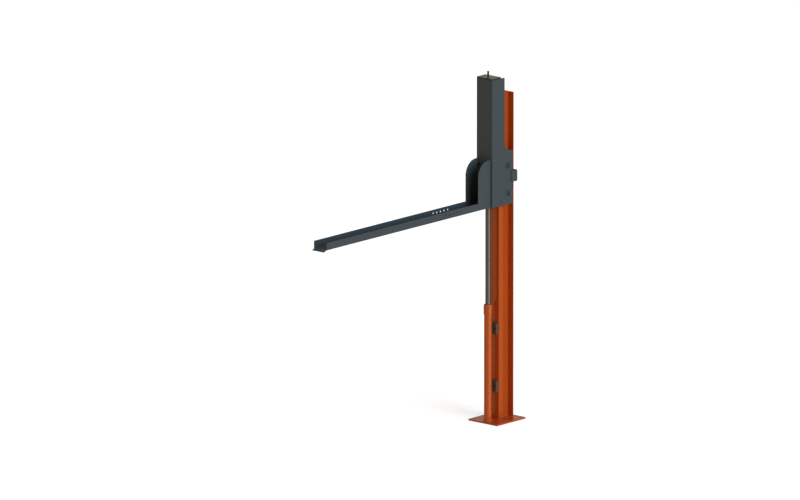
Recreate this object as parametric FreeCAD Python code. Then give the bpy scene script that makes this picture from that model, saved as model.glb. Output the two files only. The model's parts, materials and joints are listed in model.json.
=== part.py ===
import FreeCAD, Part
import math
import os

# Single-post two-level parking lift.
# A hydraulic cylinder raises a carriage on a post, and the carriage holds a wheel channel.
# Frame: +Z up, -Y towards the entry end of the channel, +X to the right seen from the entry end.
# Origin: on the floor, at the centre of the four anchor holes. Lengths are in millimetres.
# The model stands in its raised position, which is the zero of the lift's travel.

Vector = FreeCAD.Vector
UP = Vector(0, 0, 1)
RIGHT = Vector(1, 0, 0)
BACK = Vector(0, 1, 0)
FRONT = Vector(0, -1, 0)
SIDES = {"left": -1, "right": 1}

# Base plate
base_plate_width = 285.0
base_plate_depth = 327.0
base_plate_thick = 12.0
base_plate_corner_r = 4.0
anchor_spacing_x = 225.0
anchor_spacing_y = 267.0
anchor_hole_d = 18.0

# Post, an H section
post_height = 2478.0
post_width = 110.0
post_depth = 167.0
post_flange_thick = 6.0
post_web_thick = 6.0
post_root_r = 7.0
post_setback = 40.0

# Cylinder barrel, its foot and its gland
cylinder_to_post = 61.0
barrel_od = 58.0
barrel_bore = 48.0
piston_end_gap = 3.5
foot_cap_thick = 6.0
foot_spigot = 4.0
foot_spigot_bore = 20.0
foot_spigot_bore_depth = 5.0
gland_od = 65.0
gland_length = 75.0
gland_overlap = 50.0
gland_edge = 2.0
seal_depth = 5.0
seal_height = 8.0
seal_below_gland_top = 19.0
wiper_height = 7.0
wiper_lip = 2.0

# Oil inlet, on the side of the barrel that faces away from the entry
inlet_boss_d = 24.0
inlet_boss_reach = 16.0
inlet_thread_bore = 11.8
inlet_thread_depth = 12.0
inlet_passage_d = 6.0
inlet_above_plate = 15.0
inlet_turn_deg = 150.0

# Brackets that tie the barrel to the post
bracket_width = 97.0
bracket_depth = 21.0
bracket_height = 85.0
bracket_saddle_width = 16.0
bracket_edge_r = 3.0
bracket_lower_mid = 258.0
bracket_below_gland = 115.0
bracket_screw_spacing = 56.0
bracket_screw_d = 10.0
bracket_screw_head_d = 16.0
bracket_screw_head = 10.0
bracket_screw_socket = 8.0
bracket_screw_socket_depth = 5.0
bracket_screw_tip_gap = 0.5

# Moving stage of the cylinder
stage_od = 40.0
stage_bore = 33.0
stage_nose_d = 36.0
stage_nose = 6.0
stage_piston_length = 26.0
stage_piston_oilway = 10.0
stage_ring_height = 6.0
stage_ring_depth = 3.0
stage_head_od = 48.0
stage_head_length = 32.0
stage_head_spigot = 10.0
stage_foot_gap = 1.0
stage_head_gap = 7.0

# Lift rod, from the stage to the carriage's cap
rod_d = 28.0
rod_foot_length = 20.0
rod_foot_gap = 3.0
stud_d = 16.0
stud_stand = 45.0
stud_edge = 1.5
rod_shoulder_gap = 6.0
rod_nut_flats = 24.0
rod_nut_height = 13.0
rod_washer_d = 36.0
rod_washer_thick = 3.0

# Carriage: the box of plates round the post's front flange
carriage_width = 154.0
carriage_height = 969.0
carriage_front_gap = 103.0
carriage_plate = 6.0
carriage_corner_r = 4.0
mast_depth = 141.0
shoulder_depth = 233.5
shoulder_height = 407.0
shoulder_fillet_r = 70.0
shoulder_corner_r = 6.0
cap_thick = 12.0
cap_to_post = 3.0
cap_corner_r = 4.0

# Travel
raised_height = 1653.0
lowered_gap = 8.0

# Rollers inside the post
roller_d = 150.0
roller_width = 40.0
roller_edge = 3.0
roller_to_web = 11.0
roller_running_gap = 0.5
lower_roller_height = 82.0
roller_spacing = 212.0
roller_web_thick = 14.0
roller_hub_d = 78.0
roller_rim_inner_d = 122.0
bearing_od = 62.0
bearing_width = 14.0
axle_journal_d = 30.0
axle_end_gap = 4.0
axle_shoulder_d = 44.0
axle_side_gap = 0.6
axle_thread_d = 20.0
axle_tip = 2.0
collar_d = 48.0
collar_thick = 6.0
collar_edge = 1.5
axle_nut_flats = 30.0
axle_nut_height = 10.0
circlip_d = 38.0
circlip_thick = 1.5
circlip_groove = 1.5
circlip_slot = 8.0

# Sliding pads between the carriage and the edges of the front flange
pad_length = 60.0
pad_depth = 38.0
pad_gap = 1.0
pad_edge_r = 4.0
lower_pad_mid = 47.0
upper_pad_mid = 757.0
pad_screw_d = 8.0
pad_screw_head_d = 13.0
pad_screw_head = 8.0
pad_screw_sink = 9.0
pad_screw_spacing = 32.0

# Yoke behind the post
yoke_thick = 8.0
yoke_height = 83.0
yoke_mid = 205.0
yoke_overlap = 17.0
yoke_bend_r = 10.0
yoke_pad_thick = 4.0
yoke_pad_width = 80.0
yoke_pad_height = 60.0
yoke_pad_gap = 1.0
yoke_screw_spacing = 50.0
yoke_screw_d = 8.0
yoke_screw_head_d = 14.0
yoke_screw_head = 5.0
yoke_screw_in_pad = 2.5

# Wheel channel and what ties it to the carriage
channel_width = 126.0
channel_length = 1845.5
channel_wall = 56.0
channel_sheet = 3.0
channel_bend_r = 5.0
lip_reach = 25.0
lip_drop = 12.0
stop_hole_d = 12.0
stop_hole_count = 5
stop_hole_pitch = 41.0
stop_hole_first = 344.5
stop_hole_height = 29.0
upstand_length = 142.0
upstand_top = 365.0
upstand_corner_r = 115.0
back_plate_thick = 8.0
back_plate_over_floor = 3.0
platform_bolt_d = 12.0
platform_bolt_spacing_x = 92.0
platform_bolt_heights = (60.0, 190.0, 320.0)
platform_bolt_flats = 18.0
platform_bolt_head = 7.5
platform_nut_height = 10.8
platform_bolt_tip = 3.0
platform_washer_d = 24.0
platform_washer_thick = 2.5

# Clearances
running_fit = 0.05
hole_clearance = 0.5
hex_sides = 6
hex_chamfer_share = 0.06
same_place = 0.01
parallel = 1e-6

# Places worked out from the sizes above
post_front_y = post_setback - post_depth / 2
post_back_y = post_setback + post_depth / 2
post_top_z = base_plate_thick + post_height
cylinder_y = post_front_y - cylinder_to_post
barrel_bottom_z = base_plate_thick + foot_cap_thick
barrel_floor_z = barrel_bottom_z + foot_spigot
bracket_front_y = post_front_y - bracket_depth

lift_travel = raised_height - base_plate_thick - lowered_gap
stage_travel = lift_travel / 2
stage_foot_z = barrel_floor_z + stage_foot_gap + stage_travel
stage_piston_z = stage_foot_z + stage_nose
stage_tube_z = stage_piston_z + stage_piston_length
barrel_top_z = stage_tube_z + piston_end_gap
gland_bottom_z = barrel_top_z - gland_overlap
gland_top_z = gland_bottom_z + gland_length
stage_head_z = gland_top_z + stage_head_gap + stage_travel
bracket_mid_zs = (base_plate_thick + bracket_lower_mid, gland_bottom_z - bracket_below_gland)

carriage_x = carriage_width / 2
carriage_inner_x = carriage_x - carriage_plate
carriage_front_y = post_front_y - carriage_front_gap
carriage_inner_y = carriage_front_y + carriage_plate
mast_back_y = carriage_front_y + mast_depth
shoulder_back_y = carriage_front_y + shoulder_depth
carriage_bottom_z = raised_height
carriage_top_z = carriage_bottom_z + carriage_height
cap_back_y = post_front_y - cap_to_post
cap_top_z = carriage_top_z + cap_thick

rod_foot_z = stage_tube_z - stage_travel + rod_foot_gap + lift_travel
rod_bottom_z = rod_foot_z + rod_foot_length
rod_nut_z = carriage_top_z - rod_washer_thick - rod_nut_height
rod_top_z = rod_nut_z - rod_shoulder_gap

roller_x = post_web_thick / 2 + roller_to_web
roller_outer_x = roller_x + roller_width
roller_reach = post_flange_thick + roller_d / 2 + roller_running_gap
lower_roller_z = carriage_bottom_z + lower_roller_height
ROLLER_PLACES = {
    "upper": (post_front_y + roller_reach, lower_roller_z + roller_spacing),
    "lower": (post_back_y - roller_reach, lower_roller_z),
}

yoke_outer_x = carriage_x + yoke_thick
yoke_inner_y = post_back_y + yoke_pad_gap + yoke_pad_thick
yoke_back_y = yoke_inner_y + yoke_thick
yoke_front_y = shoulder_back_y - yoke_overlap
yoke_mid_z = carriage_bottom_z + yoke_mid

channel_x = channel_width / 2
channel_inner_x = channel_x - channel_sheet
channel_end_y = carriage_front_y - channel_length
channel_floor_z = carriage_bottom_z + channel_sheet
channel_top_z = carriage_bottom_z + channel_wall
upstand_top_z = carriage_bottom_z + upstand_top
back_plate_front_y = carriage_front_y - back_plate_thick


def box(x_low, x_high, y_low, y_high, z_low, z_high):
    corner = Vector(x_low, y_low, z_low)
    return Part.makeBox(x_high - x_low, y_high - y_low, z_high - z_low, corner)


def rod_along(radius, start, direction, length):
    return Part.makeCylinder(radius, length, start, direction)


def ring_along(outer_r, inner_r, start, direction, length):
    outer = rod_along(outer_r, start, direction, length)
    return outer.cut(rod_along(inner_r, start, direction, length))


def chamfered_rod(radius, start, direction, length, edge):
    """A round bar with both end edges broken."""
    bar = rod_along(radius, start, direction, length)
    return bar.makeChamfer(edge, [e for e in bar.Edges if isinstance(e.Curve, Part.Circle)])


def hexagon_along(flats, start, direction, height):
    """A hexagon head or nut blank, its corners turned off at both ends."""
    corner_r = flats / 2 / math.cos(math.pi / hex_sides)
    turns = [2 * math.pi * side / hex_sides for side in range(hex_sides + 1)]
    points = [Vector(corner_r * math.cos(turn), corner_r * math.sin(turn), 0) for turn in turns]
    prism = Part.Face(Part.makePolygon(points)).extrude(Vector(0, 0, height))
    edge = flats * hex_chamfer_share
    turned = chamfered_rod(corner_r, Vector(0, 0, 0), UP, height, edge)
    blank = prism.common(turned)
    blank.Placement = FreeCAD.Placement(start, FreeCAD.Rotation(UP, direction))
    return blank


def nut_along(flats, bore_d, start, direction, height):
    blank = hexagon_along(flats, start, direction, height)
    return blank.cut(rod_along(bore_d / 2, start, direction, height))


def outline_along_x(points, x_low, x_high):
    """A solid from a closed outline of (y, z) points, drawn out along X."""
    corners = [Vector(x_low, y, z) for y, z in points]
    face = Part.Face(Part.makePolygon(corners + corners[:1]))
    return face.extrude(Vector(x_high - x_low, 0, 0))


def edges_near(shape, direction, **place):
    """The straight edges that run along a direction through the given coordinates."""
    found = []
    for edge in shape.Edges:
        if not isinstance(edge.Curve, Part.Line):
            continue
        if abs(abs(edge.Curve.Direction.dot(direction)) - 1) > parallel:
            continue
        middle = edge.CenterOfMass
        if all(abs(getattr(middle, axis) - value) < same_place for axis, value in place.items()):
            found.append(edge)
    return found


def rounded(shape, radius, direction, places):
    """The shape with the edges at the given places rounded."""
    edges = []
    for place in places:
        edges += edges_near(shape, direction, **place)
    return shape.makeFillet(radius, edges)


def group(solids):
    return Part.makeCompound(solids)


# Fixed pieces: plate, post and cylinder barrel

def base_plate():
    x = base_plate_width / 2
    y = base_plate_depth / 2
    plate = box(-x, x, -y, y, 0, base_plate_thick)
    corners = [{"x": sx * x, "y": sy * y} for sx in (-1, 1) for sy in (-1, 1)]
    plate = rounded(plate, base_plate_corner_r, UP, corners)
    for sx in (-1, 1):
        for sy in (-1, 1):
            centre = Vector(sx * anchor_spacing_x / 2, sy * anchor_spacing_y / 2, 0)
            plate = plate.cut(rod_along(anchor_hole_d / 2, centre, UP, base_plate_thick))
    return plate


def post_column():
    half_width = post_width / 2
    half_web = post_web_thick / 2
    front_inner_y = post_front_y + post_flange_thick
    back_inner_y = post_back_y - post_flange_thick
    levels = (base_plate_thick, post_top_z)
    web = box(-half_web, half_web, front_inner_y, back_inner_y, *levels)
    front = box(-half_width, half_width, post_front_y, front_inner_y, *levels)
    back = box(-half_width, half_width, back_inner_y, post_back_y, *levels)
    section = web.fuse([front, back]).removeSplitter()
    roots = [{"x": sx * half_web, "y": y} for sx in (-1, 1) for y in (front_inner_y, back_inner_y)]
    section = rounded(section, post_root_r, UP, roots)
    for z_mid in bracket_mid_zs:
        for sx in (-1, 1):
            start = Vector(sx * bracket_screw_spacing / 2, post_front_y, z_mid)
            section = section.cut(rod_along(bracket_screw_d / 2, start, BACK, post_flange_thick))
    return section


def inlet_direction():
    turn = math.radians(inlet_turn_deg)
    return Vector(math.cos(turn), math.sin(turn), 0)


def inlet_axis_point():
    return Vector(0, cylinder_y, base_plate_thick + inlet_above_plate)


def cylinder_barrel():
    foot = Vector(0, cylinder_y, barrel_bottom_z)
    length = barrel_top_z - barrel_bottom_z
    tube = ring_along(barrel_od / 2, barrel_bore / 2, foot, UP, length)
    passage = rod_along(inlet_passage_d / 2, inlet_axis_point(), inlet_direction(), barrel_od / 2)
    return tube.cut(passage)


def cylinder_foot():
    """The disc that closes the barrel, with a hollow spigot that centres it."""
    start = Vector(0, cylinder_y, base_plate_thick)
    disc = rod_along(barrel_od / 2, start, UP, foot_cap_thick)
    spigot_start = Vector(0, cylinder_y, barrel_bottom_z)
    spigot = rod_along(barrel_bore / 2, spigot_start, UP, foot_spigot)
    hollow_start = Vector(0, cylinder_y, barrel_floor_z)
    hollow = rod_along(foot_spigot_bore / 2, hollow_start, -UP, foot_spigot_bore_depth)
    return disc.fuse(spigot).removeSplitter().cut(hollow)


def cylinder_gland():
    """The collar on top of the barrel, bored for the stage, its seal and its wiper."""
    start = Vector(0, cylinder_y, gland_bottom_z)
    collar = chamfered_rod(gland_od / 2, start, UP, gland_length, gland_edge)
    collar = collar.cut(rod_along(barrel_od / 2, start, UP, gland_overlap))
    collar = collar.cut(rod_along(stage_od / 2 + running_fit, start, UP, gland_length))
    groove_r = stage_od / 2 + seal_depth
    seal_start = Vector(0, cylinder_y, gland_top_z - seal_below_gland_top)
    collar = collar.cut(rod_along(groove_r, seal_start, UP, seal_height))
    wiper_start = Vector(0, cylinder_y, gland_top_z - wiper_height)
    return collar.cut(rod_along(groove_r, wiper_start, UP, wiper_height))


def gland_seal():
    start = Vector(0, cylinder_y, gland_top_z - seal_below_gland_top)
    inner_r = stage_od / 2 + running_fit
    return ring_along(stage_od / 2 + seal_depth, inner_r, start, UP, seal_height)


def gland_wiper():
    start = Vector(0, cylinder_y, gland_top_z - wiper_height)
    inner_r = stage_od / 2 + running_fit
    outer_r = stage_od / 2 + seal_depth
    body = ring_along(outer_r, inner_r, start, UP, wiper_height)
    lip_start = Vector(0, cylinder_y, gland_top_z)
    lip = Part.makeCone(outer_r, outer_r - wiper_lip, wiper_lip, lip_start, UP)
    lip = lip.cut(rod_along(inner_r, lip_start, UP, wiper_lip))
    return body.fuse(lip).removeSplitter()


def oil_inlet():
    """The threaded boss that feeds the barrel under its piston."""
    start = inlet_axis_point()
    direction = inlet_direction()
    reach = barrel_od / 2 + inlet_boss_reach
    boss = rod_along(inlet_boss_d / 2, start, direction, reach)
    boss = boss.cut(rod_along(barrel_od / 2, start - UP * inlet_boss_d, UP, 2 * inlet_boss_d))
    mouth = start + direction * reach
    boss = boss.cut(rod_along(inlet_thread_bore / 2, mouth, -direction, inlet_thread_depth))
    return boss.cut(rod_along(inlet_passage_d / 2, mouth, -direction, reach))


def cylinder_bracket(z_mid):
    """A block on the post's flange with a narrow saddle that is welded to the barrel."""
    levels = (z_mid - bracket_height / 2, z_mid + bracket_height / 2)
    x = bracket_width / 2
    block = box(-x, x, bracket_front_y, post_front_y, *levels)
    corners = [{"x": sx * x, "y": bracket_front_y} for sx in (-1, 1)]
    block = rounded(block, bracket_edge_r, UP, corners)
    saddle_x = bracket_saddle_width / 2
    saddle = box(-saddle_x, saddle_x, cylinder_y, bracket_front_y, *levels)
    start = Vector(0, cylinder_y, levels[0])
    saddle = saddle.cut(rod_along(barrel_od / 2, start, UP, bracket_height))
    block = block.fuse(saddle).removeSplitter()
    for sx in (-1, 1):
        face = Vector(sx * bracket_screw_spacing / 2, bracket_front_y, z_mid)
        block = block.cut(rod_along(bracket_screw_d / 2, face, BACK, bracket_depth))
        sink = bracket_screw_head + hole_clearance
        block = block.cut(rod_along(bracket_screw_head_d / 2 + hole_clearance, face, BACK, sink))
    return block


def bracket_screw(sx, z_mid):
    """A socket screw whose head is sunk in the bracket and whose tip stays in the flange."""
    seat = bracket_front_y + bracket_screw_head + hole_clearance
    start = Vector(sx * bracket_screw_spacing / 2, seat, z_mid)
    head = rod_along(bracket_screw_head_d / 2, start, FRONT, bracket_screw_head)
    socket_start = start + FRONT * bracket_screw_head
    socket = hexagon_along(bracket_screw_socket, socket_start, BACK, bracket_screw_socket_depth)
    tip_y = post_front_y + post_flange_thick - bracket_screw_tip_gap
    shank = rod_along(bracket_screw_d / 2, start, BACK, tip_y - seat)
    return head.cut(socket).fuse(shank).removeSplitter()


def bracket_screws():
    return group([bracket_screw(sx, z_mid) for z_mid in bracket_mid_zs for sx in (-1, 1)])


# Moving stage of the cylinder

def stage_tube():
    start = Vector(0, cylinder_y, stage_tube_z)
    return ring_along(stage_od / 2, stage_bore / 2, start, UP, stage_head_z - stage_tube_z)


def stage_piston():
    start = Vector(0, cylinder_y, stage_foot_z)
    nose = rod_along(stage_nose_d / 2, start, UP, stage_nose)
    body_start = Vector(0, cylinder_y, stage_piston_z)
    body = rod_along(barrel_bore / 2 - running_fit, body_start, UP, stage_piston_length)
    piston = nose.fuse(body).removeSplitter()
    piston = piston.cut(stage_piston_ring())
    total = stage_nose + stage_piston_length
    return piston.cut(rod_along(stage_piston_oilway / 2, start, UP, total))


def stage_piston_ring():
    outer_r = barrel_bore / 2 - running_fit
    z = stage_piston_z + (stage_piston_length - stage_ring_height) / 2
    start = Vector(0, cylinder_y, z)
    return ring_along(outer_r, outer_r - stage_ring_depth, start, UP, stage_ring_height)


def stage_head():
    """The head of the stage, bored for the lift rod and its seal."""
    start = Vector(0, cylinder_y, stage_head_z)
    head = chamfered_rod(stage_head_od / 2, start, UP, stage_head_length, gland_edge)
    spigot = rod_along(stage_bore / 2, start, -UP, stage_head_spigot)
    head = head.fuse(spigot).removeSplitter()
    bore_start = start - UP * stage_head_spigot
    bore_length = stage_head_length + stage_head_spigot
    head = head.cut(rod_along(rod_d / 2 + running_fit, bore_start, UP, bore_length))
    return head.cut(stage_head_seal())


def stage_head_seal():
    z = stage_head_z + (stage_head_length - seal_height) / 2
    inner_r = rod_d / 2 + running_fit
    return ring_along(rod_d / 2 + seal_depth, inner_r, Vector(0, cylinder_y, z), UP, seal_height)


# Lift rod, which carries the carriage by its cap

def lift_rod():
    start = Vector(0, cylinder_y, rod_bottom_z)
    bar = chamfered_rod(rod_d / 2, start, UP, rod_top_z - rod_bottom_z, stud_edge)
    stud_start = Vector(0, cylinder_y, rod_top_z)
    stud_length = cap_top_z + stud_stand - rod_top_z
    stud = rod_along(stud_d / 2, stud_start, UP, stud_length)
    tip_z = stud_start.z + stud_length
    tip = [e for e in stud.Edges if abs(e.CenterOfMass.z - tip_z) < same_place]
    stud = stud.makeChamfer(stud_edge, tip)
    return bar.fuse(stud).removeSplitter()


def rod_foot():
    start = Vector(0, cylinder_y, rod_foot_z)
    return chamfered_rod(stage_bore / 2 - running_fit, start, UP, rod_foot_length, stud_edge)


def rod_nut():
    start = Vector(0, cylinder_y, rod_nut_z)
    return nut_along(rod_nut_flats, stud_d, start, UP, rod_nut_height)


def rod_washer():
    start = Vector(0, cylinder_y, rod_nut_z + rod_nut_height)
    return ring_along(rod_washer_d / 2, stud_d / 2, start, UP, rod_washer_thick)


# Carriage plates

def carriage_front_plate():
    levels = (carriage_bottom_z, carriage_top_z)
    plate = box(-carriage_x, carriage_x, carriage_front_y, carriage_inner_y, *levels)
    corners = [{"x": sx * carriage_x, "y": carriage_front_y} for sx in (-1, 1)]
    plate = rounded(plate, carriage_corner_r, UP, corners)
    for start in platform_bolt_places(carriage_front_y):
        plate = plate.cut(rod_along(platform_bolt_d / 2, start, BACK, carriage_plate))
    return plate


def carriage_side(side):
    """A cheek plate: narrow along the mast, with a deep shoulder that holds the axles."""
    shoulder_z = carriage_bottom_z + shoulder_height
    x_low = min(side * carriage_inner_x, side * carriage_x)
    x_high = x_low + carriage_plate
    outline = [
        (carriage_inner_y, carriage_bottom_z),
        (shoulder_back_y, carriage_bottom_z),
        (shoulder_back_y, shoulder_z),
        (mast_back_y, shoulder_z),
        (mast_back_y, carriage_top_z),
        (carriage_inner_y, carriage_top_z),
    ]
    plate = outline_along_x(outline, x_low, x_high)
    plate = rounded(plate, shoulder_fillet_r, RIGHT, [{"y": mast_back_y, "z": shoulder_z}])
    outer = [{"y": shoulder_back_y, "z": z} for z in (carriage_bottom_z, shoulder_z)]
    plate = rounded(plate, shoulder_corner_r, RIGHT, outer)
    for y, z in ROLLER_PLACES.values():
        plate = plate.cut(rod_along(axle_thread_d / 2, Vector(x_low, y, z), RIGHT, carriage_plate))
    for y, z in pad_screw_places():
        plate = plate.cut(rod_along(pad_screw_d / 2, Vector(x_low, y, z), RIGHT, carriage_plate))
    return plate


def carriage_top_cap():
    levels = (carriage_top_z, cap_top_z)
    plate = box(-carriage_x, carriage_x, carriage_front_y, cap_back_y, *levels)
    corners = [{"x": sx * carriage_x, "y": carriage_front_y} for sx in (-1, 1)]
    plate = rounded(plate, cap_corner_r, UP, corners)
    start = Vector(0, cylinder_y, carriage_top_z)
    return plate.cut(rod_along(stud_d / 2, start, UP, cap_thick))


# Rollers, their bearings and their axles

def roller(side, place):
    """A mast roller: rim, thin disc and hub, bored for two bearings."""
    y, z = ROLLER_PLACES[place]
    start = Vector(side * roller_x, y, z)
    outwards = RIGHT * side
    wheel = chamfered_rod(roller_d / 2, start, outwards, roller_width, roller_edge)
    recess_depth = (roller_width - roller_web_thick) / 2
    far_face = start + outwards * (roller_width - recess_depth)
    for face in (start, far_face):
        recess = ring_along(roller_rim_inner_d / 2, roller_hub_d / 2, face, outwards, recess_depth)
        wheel = wheel.cut(recess)
    return wheel.cut(rod_along(bearing_od / 2, start, outwards, roller_width))


def roller_bearings(side, place):
    y, z = ROLLER_PLACES[place]
    outwards = RIGHT * side
    inner = Vector(side * roller_x, y, z)
    outer = inner + outwards * (roller_width - bearing_width)
    bore_r = axle_journal_d / 2 + running_fit
    return group([ring_along(bearing_od / 2, bore_r, start, outwards, bearing_width)
                  for start in (inner, outer)])


def roller_axle(side, place):
    """A stub axle: journal, shoulder against the cheek plate, and a threaded end outside."""
    y, z = ROLLER_PLACES[place]
    outwards = RIGHT * side
    journal_x = roller_x - axle_end_gap
    shoulder_x = roller_outer_x + axle_side_gap
    start = Vector(side * journal_x, y, z)
    journal = rod_along(axle_journal_d / 2, start, outwards, shoulder_x - journal_x)
    shoulder_start = Vector(side * shoulder_x, y, z)
    shoulder = rod_along(axle_shoulder_d / 2, shoulder_start, outwards, carriage_inner_x - shoulder_x)
    thread_start = Vector(side * carriage_inner_x, y, z)
    thread_length = carriage_plate + collar_thick + axle_nut_height + axle_tip
    thread = rod_along(axle_thread_d / 2, thread_start, outwards, thread_length)
    axle = journal.fuse([shoulder, thread]).removeSplitter()
    return axle.cut(circlip_ring(side, place, axle_journal_d / 2 + circlip_groove))


def circlip_ring(side, place, outer_r):
    y, z = ROLLER_PLACES[place]
    x = roller_x - axle_side_gap - circlip_thick
    inner_r = axle_journal_d / 2 - circlip_groove
    return ring_along(outer_r, inner_r, Vector(side * x, y, z), RIGHT * side, circlip_thick)


def axle_circlip(side, place):
    """The open spring ring that keeps the roller on its journal."""
    y, z = ROLLER_PLACES[place]
    ring = circlip_ring(side, place, circlip_d / 2)
    half = circlip_slot / 2
    x = side * roller_x
    slot = box(x - roller_width, x + roller_width, y - half, y + half, z, z + circlip_d)
    return ring.cut(slot)


def axle_collar(side, place):
    y, z = ROLLER_PLACES[place]
    start = Vector(side * carriage_x, y, z)
    collar = chamfered_rod(collar_d / 2, start, RIGHT * side, collar_thick, collar_edge)
    return collar.cut(rod_along(axle_thread_d / 2, start, RIGHT * side, collar_thick))


def axle_nut(side, place):
    y, z = ROLLER_PLACES[place]
    start = Vector(side * (carriage_x + collar_thick), y, z)
    return nut_along(axle_nut_flats, axle_thread_d, start, RIGHT * side, axle_nut_height)


def at_every_axle(make):
    return group([make(side, place) for side in SIDES.values() for place in ROLLER_PLACES])


# Sliding pads and their screws

def pad_mid_y():
    return post_front_y + post_flange_thick / 2


def pad_screw_places():
    """The (y, z) of every pad screw."""
    places = []
    for mid in (lower_pad_mid, upper_pad_mid):
        for step in (-0.5, 0.5):
            places.append((pad_mid_y(), carriage_bottom_z + mid + step * pad_screw_spacing))
    return places


def guide_pad(side, mid):
    """A block on the cheek plate that runs along the edge of the front flange."""
    z_mid = carriage_bottom_z + mid
    near_x = post_width / 2 + pad_gap
    x_low = min(side * near_x, side * carriage_inner_x)
    x_high = x_low + carriage_inner_x - near_x
    y_low = pad_mid_y() - pad_depth / 2
    levels = (z_mid - pad_length / 2, z_mid + pad_length / 2)
    pad = box(x_low, x_high, y_low, y_low + pad_depth, *levels)
    ends = [{"x": side * near_x, "z": z} for z in levels]
    pad = rounded(pad, pad_edge_r, BACK, ends)
    for y, z in pad_screw_places():
        start = Vector(side * near_x, y, z)
        pad = pad.cut(rod_along(pad_screw_d / 2, start, RIGHT * side, carriage_inner_x - near_x))
        head_r = pad_screw_head_d / 2 + hole_clearance
        pad = pad.cut(rod_along(head_r, start, RIGHT * side, pad_screw_sink))
    return pad


def guide_pads(mid):
    return group([guide_pad(side, mid) for side in SIDES.values()])


def guide_pad_screws():
    screws = []
    near_x = post_width / 2 + pad_gap
    seat_x = near_x + pad_screw_sink
    for side in SIDES.values():
        for y, z in pad_screw_places():
            seat = Vector(side * seat_x, y, z)
            head = rod_along(pad_screw_head_d / 2, seat, RIGHT * -side, pad_screw_head)
            shank = rod_along(pad_screw_d / 2, seat, RIGHT * side, carriage_x - seat_x)
            screws.append(head.fuse(shank).removeSplitter())
    return group(screws)


# Yoke behind the post

def yoke_screw_starts():
    return [Vector(sx * yoke_screw_spacing / 2, yoke_back_y, yoke_mid_z) for sx in (-1, 1)]


def rear_yoke():
    """A strap bent round the back of the post and fixed outside both cheek plates."""
    levels = (yoke_mid_z - yoke_height / 2, yoke_mid_z + yoke_height / 2)
    strap = box(-yoke_outer_x, yoke_outer_x, yoke_front_y, yoke_back_y, *levels)
    corners = [{"x": sx * yoke_outer_x, "y": yoke_back_y} for sx in (-1, 1)]
    strap = rounded(strap, yoke_bend_r, UP, corners)
    hollow = box(-carriage_x, carriage_x, yoke_front_y, yoke_inner_y, *levels)
    bends = [{"x": sx * carriage_x, "y": yoke_inner_y} for sx in (-1, 1)]
    hollow = rounded(hollow, yoke_bend_r - yoke_thick, UP, bends)
    strap = strap.cut(hollow)
    for start in yoke_screw_starts():
        strap = strap.cut(rod_along(yoke_screw_d / 2, start, FRONT, yoke_thick))
    return strap


def yoke_pad():
    x = yoke_pad_width / 2
    y_low = yoke_inner_y - yoke_pad_thick
    levels = (yoke_mid_z - yoke_pad_height / 2, yoke_mid_z + yoke_pad_height / 2)
    pad = box(-x, x, y_low, yoke_inner_y, *levels)
    for start in yoke_screw_starts():
        reach = yoke_thick + yoke_screw_in_pad
        pad = pad.cut(rod_along(yoke_screw_d / 2, start, FRONT, reach))
    return pad


def yoke_screws():
    screws = []
    for start in yoke_screw_starts():
        head = chamfered_rod(yoke_screw_head_d / 2, start, BACK, yoke_screw_head, hole_clearance)
        shank = rod_along(yoke_screw_d / 2, start, FRONT, yoke_thick + yoke_screw_in_pad)
        screws.append(head.fuse(shank).removeSplitter())
    return group(screws)


# Wheel channel and its root on the carriage

def platform_channel():
    """A folded channel with a ramp lip at its entry and pin holes through both walls."""
    levels = (carriage_bottom_z, channel_top_z)
    body = box(-channel_x, channel_x, channel_end_y, carriage_front_y, *levels)
    folds = [{"x": sx * channel_x, "z": carriage_bottom_z} for sx in (-1, 1)]
    body = rounded(body, channel_bend_r, BACK, folds)
    trough = box(-channel_inner_x, channel_inner_x, channel_end_y, carriage_front_y,
                 channel_floor_z, channel_top_z)
    inner_folds = [{"x": sx * channel_inner_x, "z": channel_floor_z} for sx in (-1, 1)]
    trough = rounded(trough, channel_bend_r - channel_sheet, BACK, inner_folds)
    channel = body.cut(trough)
    lip_x = channel_x - channel_bend_r
    lip = outline_along_x([
        (channel_end_y, carriage_bottom_z),
        (channel_end_y, channel_floor_z),
        (channel_end_y - lip_reach, channel_floor_z - lip_drop),
        (channel_end_y - lip_reach, carriage_bottom_z - lip_drop),
    ], -lip_x, lip_x)
    channel = channel.fuse(lip).removeSplitter()
    for number in range(stop_hole_count):
        y = carriage_front_y - stop_hole_first - number * stop_hole_pitch
        start = Vector(-channel_x, y, carriage_bottom_z + stop_hole_height)
        channel = channel.cut(rod_along(stop_hole_d / 2, start, RIGHT, channel_width))
    return channel


def platform_upstand(side):
    """A gusset that carries a channel wall up the front of the carriage."""
    x_low = min(side * channel_inner_x, side * channel_x)
    front_y = carriage_front_y - upstand_length
    outline = [
        (carriage_front_y, channel_top_z),
        (front_y, channel_top_z),
        (front_y, upstand_top_z),
        (carriage_front_y, upstand_top_z),
    ]
    plate = outline_along_x(outline, x_low, x_low + channel_sheet)
    return rounded(plate, upstand_corner_r, RIGHT, [{"y": front_y, "z": upstand_top_z}])


def platform_bolt_places(y):
    """The centres of the bolts that hold the platform, on the plane at y."""
    return [Vector(sx * platform_bolt_spacing_x / 2, y, carriage_bottom_z + height)
            for sx in (-1, 1) for height in platform_bolt_heights]


def platform_back_plate():
    plate = box(-channel_inner_x, channel_inner_x, back_plate_front_y, carriage_front_y,
                channel_floor_z + back_plate_over_floor, upstand_top_z)
    for start in platform_bolt_places(back_plate_front_y):
        plate = plate.cut(rod_along(platform_bolt_d / 2, start, BACK, back_plate_thick))
    return plate


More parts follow.
